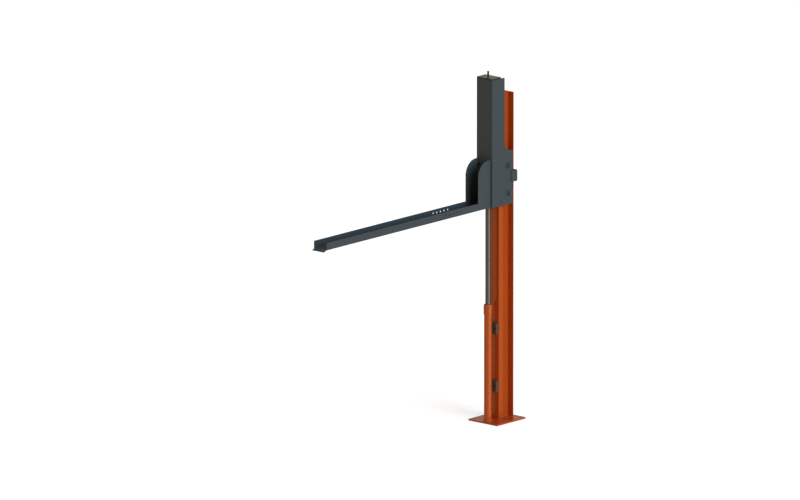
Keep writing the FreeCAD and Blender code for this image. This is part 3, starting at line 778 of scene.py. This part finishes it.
def plate_enamel(name):
    """The same enamel on the floor plate, wiped clean, so that it mirrors the post's foot."""
    paint = bpy.context.scene.lift_paint
    return layered(
        name, paint.orange, worn=paint.primer, bump=0.00002, gloss=(0.02, 0.05),
        skin={"tone_scale": 9.0, "tone_depth": 0.2, "skin_scale": 160.0},
        wear={"radius": 0.0012, "breakup": 90.0, "amount": 0.5},
        dust={"patch_scale": 16.0, "amount": 0.1}, **ENAMEL)


SLATE = {
    "shine": 0.3,
    "skin": {"tone_scale": 2.8, "tone_depth": 0.06, "skin_scale": 900.0},
    "worn": linear_colour(122, 122, 118),
}


def coat_gloss():
    gloss = bpy.context.scene.lift_paint.coat_gloss
    return gloss - 0.06, gloss + 0.08


def slate_coat(name):
    """Satin powder coat with a fine grain, a little dust on top and lighter corners."""
    return layered(
        name, bpy.context.scene.lift_paint.slate, bump=0.00006, gloss=coat_gloss(),
        wear={"radius": 0.001, "breakup": 110.0, "amount": 0.4},
        dust={"patch_scale": 14.0, "amount": 0.16}, powder=linear_colour(132, 128, 122), **SLATE)


def rubbed_slate(name):
    """The slate coat inside the wheel channel, scuffed lengthwise in use."""
    def scuffs(tree, coat):
        return use_group(tree, rub_marks, lines=(260.0, 5.0, 40.0), amount=0.55)["Mask"]

    return layered(
        name, bpy.context.scene.lift_paint.slate, bump=0.00006, gloss=coat_gloss(),
        stain=scuffs, stained=linear_colour(112, 110, 106),
        wear={"radius": 0.001, "breakup": 90.0, "amount": 0.5},
        dust={"patch_scale": 12.0, "amount": 0.2}, powder=linear_colour(128, 122, 114), **SLATE)


def cut_cap(name):
    """The slate coat on the cap: glossy, darker on its upright edge faces, and lighter on top,
    partly from dust and partly as painted light.
    """
    # Darkens the cap's upright edge faces, chosen by their slope alone
    def cut_edges(tree, coat):
        level = maths(tree, "ABSOLUTE", upward(tree))
        return remap(tree, level, low=0.3, high=0.6, to_low=1.0, to_high=0.0)

    return layered(
        name, linear_colour(54, 66, 74), bump=0.00003, gloss=(0.1, 0.16),
        stain=cut_edges, stained=linear_colour(42, 42, 40),
        wear={"radius": 0.001, "breakup": 110.0, "amount": 0.4},
        # The dust lightens the top: partly real dust, partly painted light where light falls on
        # the top
        dust={"patch_scale": 9.0, "amount": 0.2}, powder=linear_colour(132, 132, 128),
        dulling=0.4, **SLATE)


def bracket_paint(name):
    """Dull dark paint over rough-cut blocks."""
    paint = bpy.context.scene.lift_paint
    return layered(
        name, paint.bracket, worn=paint.steel, shine=0.3, bump=0.00006, gloss=(0.34, 0.5),
        skin={"tone_scale": 9.0, "tone_depth": 0.3, "skin_scale": 600.0},
        wear={"radius": 0.0012, "breakup": 140.0, "amount": 0.55})


def ground_rod(name):
    """Ground and polished rod with fine rings and a thin film of oil."""
    return layered(
        name, bpy.context.scene.lift_paint.rod, metallic=0.6, bump=0.000004, gloss=(0.2, 0.34),
        lines=(0.0, 0.0, 1400.0),
        skin={"tone_scale": 6.0, "tone_depth": 0.3, "skin_scale": 300.0})


def turned_steel(name):
    """Bare turned steel, with the tool's rings round the axles and rollers."""
    return layered(
        name, bpy.context.scene.lift_paint.steel, metallic=1.0, bump=0.000008,
        gloss=(0.38, 0.56), lines=(2200.0, 0.0, 0.0),
        skin={"tone_scale": 30.0, "tone_depth": 0.25, "skin_scale": 400.0})


def painted_axles(name):
    """Turned steel inside the carriage, and slate paint on the ends outside its cheeks."""
    paint = bpy.context.scene.lift_paint
    material, tree, shader = new_material(name, shine=0.3)
    place = add_node(tree, "TexCoord").outputs["Object"]
    across = maths(tree, "ABSOLUTE", add_node(tree, "SeparateXYZ", {0: place}).outputs["X"])
    bare = maths(tree, "LESS_THAN", across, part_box("carriage_side_right")[1].x)
    rings = use_group(tree, fine_lines, lines=(2200.0, 0.0, 0.0))["Value"]
    tone = use_group(tree, paint_skin, tone_scale=30.0, tone_depth=0.2, skin_scale=700.0)["Tone"]
    steel, coat = toned(tree, paint.steel, tone), toned(tree, paint.slate, tone)
    gloss = remap(tree, rings, *NOISE_RANGE, to_low=0.3, to_high=0.5)
    colour = mixed_colour(tree, bare, coat, steel)
    connect(tree, shader, colour, gloss, rings, depth=0.000008)
    tree.links.new(bare, shader.inputs["Metallic"])
    return material


def blackened_steel(name):
    """Blackened fasteners, rubbed bright on their corners."""
    return layered(
        name, linear_colour(58, 56, 54), worn=bpy.context.scene.lift_paint.steel,
        metallic=0.85, bump=0.00002, gloss=(0.34, 0.52),
        skin={"tone_scale": 60.0, "tone_depth": 0.4, "skin_scale": 1200.0},
        wear={"radius": 0.0006, "breakup": 300.0, "amount": 0.6})


def seal_rubber(name):
    """Black rubber with a matt moulded skin."""
    return layered(
        name, linear_colour(38, 37, 36), shine=0.35, bump=0.00004, gloss=(0.5, 0.7),
        skin={"tone_scale": 40.0, "tone_depth": 0.4, "skin_scale": 1500.0})


def pad_nylon(name):
    """Milled cream nylon, greyed by grease."""
    def grease(tree, coat):
        return remap(tree, coat["Tone"], low=0.96, high=1.06, to_low=0.45, to_high=0.0)

    return layered(
        name, linear_colour(206, 200, 184), shine=0.5, bump=0.00003, gloss=(0.38, 0.55),
        lines=(0.0, 30.0, 700.0), stain=grease, stained=linear_colour(110, 104, 94),
        skin={"tone_scale": 25.0, "tone_depth": 0.2, "skin_scale": 500.0})


SLOT_FINISHES = {
    "orange_paint": orange_enamel,
    "slate_paint": slate_coat,
    "bright_rod": ground_rod,
    "turned_steel": turned_steel,
    "dark_fastener": blackened_steel,
    "seal_rubber": seal_rubber,
    "pad_plastic": pad_nylon,
}

NODE_FINISHES = {
    "base_plate": plate_enamel,
    "platform_channel": rubbed_slate,
    "carriage_top_cap": cut_cap,
    "cylinder_bracket_lower": bracket_paint,
    "cylinder_bracket_upper": bracket_paint,
    "roller_axles": painted_axles,
}


def finish(build):
    """The material that a function builds, built the first time it is asked for."""
    name = build.__name__
    return bpy.data.materials.get(name) or build(name)


def node_finish(node):
    """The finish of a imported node: its own where it has one, or else that of its slot."""
    return finish(NODE_FINISHES.get(node, SLOT_FINISHES[SLOTS[node]]))


# Operators, one for each piece or group of like pieces, and one for the stage

class LIFT_OT_bare_parts(bpy.types.Operator):
    """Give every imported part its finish"""

    bl_idname = "lift.bare_parts"
    bl_label = "Finish Packed Parts"

    def execute(self, context):
        for node in SLOTS:
            for place in frame["nodes"][node].material_slots:
                place.material = node_finish(node)
        return {"FINISHED"}


class LIFT_OT_floor_plate(bpy.types.Operator):
    """Round the corners of the floor plate"""

    bl_idname = "lift.floor_plate"
    bl_label = "Floor Plate"

    def execute(self, context):
        round_parts("plate", "base_plate")
        return {"FINISHED"}


class LIFT_OT_post(bpy.types.Operator):
    """Round the flange corners of the post"""

    bl_idname = "lift.post"
    bl_label = "Post"

    def execute(self, context):
        round_parts("section", "post_column")
        return {"FINISHED"}


class LIFT_OT_cylinder_brackets(bpy.types.Operator):
    """Round the two brackets that tie the cylinder to the post"""

    bl_idname = "lift.cylinder_brackets"
    bl_label = "Cylinder Brackets"

    def execute(self, context):
        round_parts("plate", "cylinder_bracket_lower", "cylinder_bracket_upper")
        return {"FINISHED"}


class LIFT_OT_post_welds(bpy.types.Operator):
    """Weld the post to its plate, all round the section"""

    bl_idname = "lift.post_welds"
    bl_label = "Post Welds"

    def execute(self, context):
        leg = context.scene.lift_welds.leg
        low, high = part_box("post_column")
        z, web, tip = low.z, WEB_THICK / 2, high.x
        inner = (low.y + FLANGE_THICK, high.y - FLANGE_THICK)
        beads = weld_pair((web, inner[0], z), (web, inner[1], z), (RIGHT, UP), leg)
        for y, inner_y, back in zip((low.y, high.y), inner, (-BACK, BACK)):
            beads.append(weld_line(Vector((-tip, y, z)), Vector((tip, y, z)), (back, UP), leg))
            beads += weld_pair((web, inner_y, z), (tip, inner_y, z), (-back, UP), leg)
            beads += weld_pair((tip, y, z), (tip, inner_y, z), (RIGHT, UP), leg)
        finish_beads("post_foot_welds", beads, "post", "orange_paint")
        return {"FINISHED"}


class LIFT_OT_cylinder_welds(bpy.types.Operator):
    """Weld the cylinder to the plate by its foot, to the bracket saddles and to its inlet"""

    bl_idname = "lift.cylinder_welds"
    bl_label = "Cylinder Welds"

    def execute(self, context):
        welds = context.scene.lift_welds
        low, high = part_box("cylinder_foot")
        radius = (high.x - low.x) / 2
        centre = middle("cylinder_foot")
        centre.z = low.z
        beads = [weld_ring(centre, UP, radius, welds.foot_leg)]
        finish_beads("cylinder_foot_weld", beads, "post", "orange_paint")
        x = SADDLE_WIDTH / 2
        reach = math.sqrt(radius ** 2 - x ** 2)
        y, walls = centre.y + reach, (RIGHT, Vector((x, reach, 0)).normalized())
        beads = []
        for node in ("cylinder_bracket_lower", "cylinder_bracket_upper"):
            low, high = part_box(node)
            beads += weld_pair((x, y, low.z), (x, y, high.z), walls, welds.fine_leg)
        finish_beads("bracket_welds", beads, "post", "slate_paint", finish(bracket_paint))
        centre.z = INLET_HEIGHT
        beads = self.inlet_beads(centre, radius, welds.fine_leg)
        finish_beads("inlet_weld", beads, "post", "orange_paint")
        return {"FINISHED"}

    def inlet_beads(self, centre, barrel_radius, leg):
        """Ripples along the curve where the inlet's boss meets the round barrel."""
        outward = Vector((math.cos(INLET_TURN), math.sin(INLET_TURN), 0))
        across = UP.cross(outward)
        count = round(math.tau * INLET_RADIUS / bpy.context.scene.lift_welds.pitch)
        beads = []
        for step in range(count):
            angle = math.tau * step / count
            boss_wall = across * math.sin(angle) + UP * math.cos(angle)
            sideways = INLET_RADIUS * math.sin(angle)
            depth = math.sqrt(barrel_radius ** 2 - sideways ** 2)
            barrel_wall = (outward * depth + across * sideways).normalized()
            corner = centre + outward * depth + boss_wall * INLET_RADIUS
            along = boss_wall.cross(barrel_wall).normalized()
            beads.append(weld_ripple(corner, along, (boss_wall, barrel_wall), leg))
        return beads


class LIFT_OT_carriage_plates(bpy.types.Operator):
    """Round the carriage's front plate, cheeks and cap"""

    bl_idname = "lift.carriage_plates"
    bl_label = "Carriage Plates"

    def execute(self, context):
        round_parts("plate", "carriage_front_plate", "carriage_side_left", "carriage_side_right",
                    "carriage_top_cap")
        return {"FINISHED"}


class LIFT_OT_cylinder_ends(bpy.types.Operator):
    """Round the gland, the cylinder's foot, the stage's head and the oil inlet"""

    bl_idname = "lift.cylinder_ends"
    bl_label = "Cylinder Ends"

    def execute(self, context):
        round_parts("sheet", "cylinder_gland", "stage_head", "oil_inlet", "cylinder_foot")
        return {"FINISHED"}


class LIFT_OT_fasteners(bpy.types.Operator):
    """Round the screws, bolts, washers and nuts"""

    bl_idname = "lift.fasteners"
    bl_label = "Fasteners"

    def execute(self, context):
        round_parts("fastener", "bracket_screws", "guide_pad_screws", "rod_nut", "rod_washer",
                    "axle_collars", "axle_nuts", "platform_bolts", "platform_washers",
                    "platform_nuts")
        return {"FINISHED"}


class LIFT_OT_sliding_pads(bpy.types.Operator):
    """Round the nylon pads that slide on the post"""

    bl_idname = "lift.sliding_pads"
    bl_label = "Sliding Pads"

    def execute(self, context):
        round_parts("sheet", "guide_pads_lower", "guide_pads_upper", "yoke_pad")
        return {"FINISHED"}


class LIFT_OT_rollers(bpy.types.Operator):
    """Round the rollers and their axles, and make their sealed bearings"""

    bl_idname = "lift.rollers"
    bl_label = "Rollers"

    def execute(self, context):
        round_parts("fastener", "roller_axles")
        for node in sorted(n for n in SLOTS if n.startswith("roller_") and n != "roller_axles"):
            round_parts("sheet", node)
            self.bearings(node, node.replace("roller", "bearings"))
        return {"FINISHED"}

    def bearings(self, roller, node):
        """Two pairs of races, with a rubber seal sunk in each face."""
        low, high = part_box(node)
        centre = middle(node)
        outer, inner = (high.z - low.z) / 2, AXLE_RADIUS
        seal_out, seal_in = outer - OUTER_RACE, inner + INNER_RACE
        face = [(0, outer), (0, seal_out), (SEAL_SINK, seal_out - SEAL_LAND),
                (SEAL_SINK, seal_in + SEAL_LAND), (0, seal_in), (0, inner)]
        seal = [(SEAL_SINK * depth, (seal_out if step < 0 else seal_in) + SEAL_LAND * step)
                for depth, step in SEAL_OUTLINE]
        other_face, other_seal = (
            [(BEARING_WIDTH - x, radius) for x, radius in outline] for outline in (face, seal))
        rings, seals = [], []
        for x in (low.x, high.x - BEARING_WIDTH):
            centre.x = x
            rings.append(turned_ring("races", face + other_face[::-1], centre))
            seals += [turned_ring("seal", outline, centre) for outline in (seal, other_seal)]
        body = frame["nodes"][roller]["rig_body"]
        for name, parts, slot, replaced in ((node + "_races", rings, "turned_steel", [node]),
                                            (node + "_seals", seals, "seal_rubber", [])):
            piece = join(name, parts)
            shade(piece)
            finish_piece(piece, body, slot, replaced)


class LIFT_OT_carriage_welds(bpy.types.Operator):
    """Stitch the cheeks to the front plate and weld the cap, on the inside of the box"""

    bl_idname = "lift.carriage_welds"
    bl_label = "Carriage Welds"

    def execute(self, context):
        welds = context.scene.lift_welds
        low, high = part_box("carriage_front_plate")
        cap_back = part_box("carriage_top_cap")[1].y
        x, y, top = high.x - PLATE_THICK, high.y, high.z
        left, right = Vector((-x, y, top)), Vector((x, y, top))
        beads = [weld_line(left, right, (BACK, -UP), welds.leg)]
        beads += weld_pair(right, (x, cap_back, top), (-RIGHT, -UP), welds.leg)
        z = low.z + welds.stitch / 2
        while z + welds.stitch < top - welds.stitch:
            beads += weld_pair((x, y, z), (x, y, z + welds.stitch), (-RIGHT, BACK), welds.leg)
            z += welds.stitch + welds.stitch_gap
        finish_beads("carriage_welds", beads, "carriage", "slate_paint")
        return {"FINISHED"}


class LIFT_OT_collar_welds(bpy.types.Operator):
    """Weld the axle collars to the cheeks"""

    bl_idname = "lift.collar_welds"
    bl_label = "Collar Welds"

    def execute(self, context):
        leg = context.scene.lift_welds.fine_leg
        cheek_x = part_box("carriage_side_right")[1].x
        beads = []
        for roller in ("roller_upper_right", "roller_lower_right"):
            centre = middle(roller)
            for side in SIDES:
                centre.x = side * cheek_x
                beads.append(weld_ring(centre, RIGHT * side, COLLAR_RADIUS, leg))
        finish_beads("collar_welds", beads, "carriage", "slate_paint")
        return {"FINISHED"}


class LIFT_OT_rear_yoke(bpy.types.Operator):
    """Round the yoke behind the post and weld it to the cheeks"""

    bl_idname = "lift.rear_yoke"
    bl_label = "Rear Yoke"

    def execute(self, context):
        round_parts("plate", "rear_yoke")
        leg = context.scene.lift_welds.fine_leg
        low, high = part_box("rear_yoke")
        x, cheek_back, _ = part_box("carriage_side_right")[1]
        beads = weld_pair((x, low.y, low.z), (x, low.y, high.z), (RIGHT, -BACK), leg)
        for z, wall in ((low.z, -UP), (high.z, UP)):
            beads += weld_pair((x, low.y, z), (x, cheek_back, z), (RIGHT, wall), leg)
        finish_beads("yoke_welds", beads, "carriage", "slate_paint")
        return {"FINISHED"}


class LIFT_OT_wheel_platform(bpy.types.Operator):
    """Round the wheel channel, its upstands and the plate between them"""

    bl_idname = "lift.wheel_platform"
    bl_label = "Wheel Platform"

    def execute(self, context):
        round_parts("sheet", "platform_channel", "platform_upstand_left",
                    "platform_upstand_right")
        round_parts("plate", "platform_back_plate")
        return {"FINISHED"}


class LIFT_OT_platform_welds(bpy.types.Operator):
    """Weld the back plate between the upstands and seam each upstand to the channel's wall"""

    bl_idname = "lift.platform_welds"
    bl_label = "Platform Welds"

    def execute(self, context):
        leg = context.scene.lift_welds.fine_leg
        low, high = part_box("platform_back_plate")
        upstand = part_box("platform_upstand_right")[0]
        x, y = high.x, low.y
        beads = weld_pair((x, y, low.z), (x, y, high.z), (-RIGHT, -BACK), leg)
        beads += weld_pair((x, upstand.y, upstand.z), (x, y, upstand.z), (-RIGHT,),
                           leg * SEAM_SHARE)
        finish_beads("platform_welds", beads, "carriage", "slate_paint")
        return {"FINISHED"}


class LIFT_OT_lift_rod(bpy.types.Operator):
    """Turn the lift rod and cut the thread on its stud"""

    bl_idname = "lift.lift_rod"
    bl_label = "Lift Rod"

    def execute(self, context):
        low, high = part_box("lift_rod")
        x, y, _ = middle("lift_rod")
        length = STUD_BOTTOM - low.z
        bpy.ops.mesh.primitive_cylinder_add(vertices=64, radius=ROD_RADIUS, depth=length,
                                            location=(x, y, low.z + length / 2))
        bar = settled_piece("rod_bar")
        apply_modifier(bar, "BEVEL", width=ROD_CHAMFER, segments=2, limit_method="ANGLE",
                       angle_limit=SHARP_ANGLE)
        stud = thread("rod_stud", STUD_RADIUS, STUD_PITCH, STUD_BOTTOM - STUD_PITCH,
                      high.z - STUD_TIP, (x, y, 0))
        near_top = high.z - 2 * STUD_TIP
        select_faces(stud, lambda centre, normal: normal.z > LOOKS_UP and centre.z > near_top)
        bpy.ops.mesh.extrude_region_move(TRANSFORM_OT_translate={"value": (0, 0, STUD_TIP)})
        bpy.ops.transform.resize(value=(STUD_TIP_SHARE, STUD_TIP_SHARE, 1),
                                 center_override=(x, y, high.z))
        object_mode()
        rod = join("threaded_lift_rod", [bar, stud])
        shade(rod, angle=40)
        finish_piece(rod, "carriage", "bright_rod", ["lift_rod"])
        return {"FINISHED"}


class LIFT_OT_yoke_screws(bpy.types.Operator):
    """Make the two domed socket screws that hold the yoke's pad"""

    bl_idname = "lift.yoke_screws"
    bl_label = "Yoke Screws"

    def execute(self, context):
        low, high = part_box("yoke_screws")
        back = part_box("rear_yoke")[1].y
        z = middle("yoke_screws").z
        dome, shank = high.y - back, back - low.y
        lying = (math.pi / 2, 0, 0)
        screws = []
        for side in SIDES:
            x = side * YOKE_SCREW_X
            bpy.ops.mesh.primitive_uv_sphere_add(segments=32, ring_count=16,
                                                 radius=YOKE_SCREW_HEAD, location=(x, back, z))
            head = settled_piece("screw_head")
            edit_all(head)
            bpy.ops.transform.resize(value=(1, dome / YOKE_SCREW_HEAD, 1),
                                     center_override=(x, back, z))
            bpy.ops.mesh.bisect(plane_co=(x, back, z), plane_no=BACK, clear_inner=True,
                                use_fill=True)
            object_mode()
            bpy.ops.mesh.primitive_cylinder_add(
                vertices=6, radius=YOKE_SCREW_SOCKET, depth=2 * YOKE_SOCKET_DEPTH,
                location=(x, high.y, z), rotation=lying)
            socket = settled_piece("screw_socket")
            apply_modifier(head, "BOOLEAN", operation="DIFFERENCE", object=socket,
                           solver="EXACT")
            bpy.data.objects.remove(socket)
            bpy.ops.mesh.primitive_cylinder_add(
                vertices=32, radius=YOKE_SCREW_STEM, depth=shank,
                location=(x, low.y + shank / 2, z), rotation=lying)
            screws += [head, settled_piece("screw_stem")]
        piece = join("yoke_socket_screws", screws)
        shade(piece, angle=35)
        finish_piece(piece, "carriage", "dark_fastener", ["yoke_screws"])
        return {"FINISHED"}


# Floor, light and camera

def background_share(tree):
    """1 on rays that show the background as it is, and less on mirror rays."""
    path = add_node(tree, "LightPath").outputs
    mirrored = maths(tree, "MULTIPLY", path["Is Glossy Ray"], MIRRORED_BACKGROUND)
    seen = maths(tree, "MAXIMUM", path["Is Camera Ray"], path["Is Transmission Ray"])
    return maths(tree, "MAXIMUM", seen, mirrored)


def floor_finish(stage):
    """A pale floor that looks white, keeps a soft shadow and throws warm light back."""
    material = bpy.data.materials.new("pale_floor")
    material.use_nodes = True
    tree = material.node_tree
    tree.nodes.clear()
    lit = add_node(tree, "BsdfDiffuse", {"Color": opaque(stage.floor_colour)}).outputs[0]
    inputs = {"Color": opaque(stage.floor_glow), "Strength": background_share(tree)}
    white = add_node(tree, "Emission", inputs).outputs[0]
    both = add_node(tree, "AddShader", {0: lit, 1: white}).outputs[0]
    add_node(tree, "OutputMaterial", {"Surface": both})
    return material


def build_world(stage):
    world = bpy.data.worlds.new("studio")
    world.use_nodes = True
    bpy.context.scene.world = world
    tree = world.node_tree
    tree.nodes.clear()
    inputs = {"Color": opaque(stage.fill_colour), "Strength": stage.fill}
    even = add_node(tree, "Background", inputs).outputs[0]
    white = add_node(tree, "Background", {"Color": (1, 1, 1, 1), "Strength": 1.0}).outputs[0]
    both = add_node(tree, "MixShader", {0: background_share(tree), 1: even, 2: white}).outputs[0]
    add_node(tree, "OutputWorld", {"Surface": both})


def far_lamp(name, direction, strength, stage):
    """A broad lamp far away in a direction."""
    toward = Vector(direction).normalized()
    bpy.ops.object.light_add(type="SUN", location=toward * LAMP_DISTANCE)
    lamp = bpy.context.active_object
    lamp.name = name
    lamp.rotation_euler = toward.to_track_quat("Z", "Y").to_euler()
    lamp.data.energy = strength
    lamp.data.angle = stage.key_softness
    return lamp


def standing_lamp(stage):
    """A tall lamp beside the cylinder that only shines in the cylinder's own round surfaces."""
    centre = middle("cylinder_barrel")
    centre.z = stage.glint_height / 2
    toward = Vector(stage.glint_direction).normalized()
    bpy.ops.object.light_add(type="AREA", location=centre + toward * stage.glint_distance)
    lamp = bpy.context.active_object
    lamp.name = "glint_lamp"
    lamp.rotation_euler = toward.to_track_quat("Z", "Y").to_euler()
    lamp.data.shape = "RECTANGLE"
    lamp.data.size = stage.glint_width
    lamp.data.size_y = stage.glint_height
    lamp.data.energy = stage.glint_power
    lamp.visible_camera = False
    lamp.visible_diffuse = False
    mirrors = bpy.data.collections.new("glint_mirrors")
    for piece in list(bpy.context.scene.objects):
        if piece.name.startswith(GLINT_MIRRORS):
            mirrors.objects.link(piece)
    lamp.light_linking.receiver_collection = mirrors


class LIFT_OT_stage(bpy.types.Operator):
    """Lay the floor, light it and set the camera"""

    bl_idname = "lift.stage"
    bl_label = "Stage"

    def execute(self, context):
        stage = context.scene.lift_stage
        deselect_all()
        bpy.ops.mesh.primitive_plane_add(size=stage.floor_size, location=(0, 0, cad_low.z))
        floor = new_piece("studio_floor")
        floor.data.materials.append(floor_finish(stage))
        build_world(stage)
        key = far_lamp("key_lamp", stage.key_direction, stage.key_strength, stage)
        key.data.color = stage.key_colour
        behind = far_lamp("back_lamp", stage.back_direction, stage.back_strength, stage)
        behind.visible_glossy = False
        standing_lamp(stage)
        across = math.cos(stage.elevation)
        back = Vector((math.sin(stage.azimuth) * across, -math.cos(stage.azimuth) * across,
                       math.sin(stage.elevation)))
        bpy.ops.object.camera_add(location=Vector(stage.target) + back * stage.distance)
        camera = context.active_object
        camera.name = "photo_camera"
        camera.rotation_euler = back.to_track_quat("Z", "Y").to_euler()
        camera.data.sensor_width = SENSOR_WIDTH
        camera.data.lens = SENSOR_WIDTH * stage.distance / stage.picture_width
        camera.data.clip_start = 1
        camera.data.clip_end = 3 * stage.distance
        context.scene.camera = camera
        context.scene.view_settings.view_transform = "Standard"
        return {"FINISHED"}


class LIFT_PT_panel(bpy.types.Panel):
    """Lists the lift's steps in the order they are run"""

    bl_idname = "LIFT_PT_panel"
    bl_label = "Parking Lift"
    bl_space_type = "VIEW_3D"
    bl_region_type = "UI"
    bl_category = "Lift"

    def draw(self, context):
        for group in SETTINGS:
            settings = getattr(context.scene, group)
            box = self.layout.box()
            for name in settings.__annotations__:
                box.prop(settings, name)
        for operator in OPERATORS:
            self.layout.operator(operator.bl_idname)


SETTINGS = {
    "lift_paint": LiftPaintSettings,
    "lift_edges": LiftEdgeSettings,
    "lift_welds": LiftWeldSettings,
    "lift_stage": LiftStageSettings,
}

OPERATORS = (
    LIFT_OT_bare_parts,
    LIFT_OT_floor_plate,
    LIFT_OT_post,
    LIFT_OT_cylinder_brackets,
    LIFT_OT_cylinder_ends,
    LIFT_OT_post_welds,
    LIFT_OT_cylinder_welds,
    LIFT_OT_carriage_plates,
    LIFT_OT_carriage_welds,
    LIFT_OT_collar_welds,
    LIFT_OT_fasteners,
    LIFT_OT_sliding_pads,
    LIFT_OT_rollers,
    LIFT_OT_rear_yoke,
    LIFT_OT_yoke_screws,
    LIFT_OT_wheel_platform,
    LIFT_OT_platform_welds,
    LIFT_OT_lift_rod,
    LIFT_OT_stage,
)


def register():
    for kind in (*SETTINGS.values(), *OPERATORS, LIFT_PT_panel):
        bpy.utils.register_class(kind)
    for name, kind in SETTINGS.items():
        setattr(bpy.types.Scene, name, PointerProperty(type=kind))


def unregister():
    for name in SETTINGS:
        delattr(bpy.types.Scene, name)
    for kind in reversed((*SETTINGS.values(), *OPERATORS, LIFT_PT_panel)):
        bpy.utils.unregister_class(kind)


def main():
    register()
    for operator in OPERATORS:
        group, name = operator.bl_idname.split(".")
        getattr(getattr(bpy.ops, group), name)()


if __name__ == "__main__":
    main()
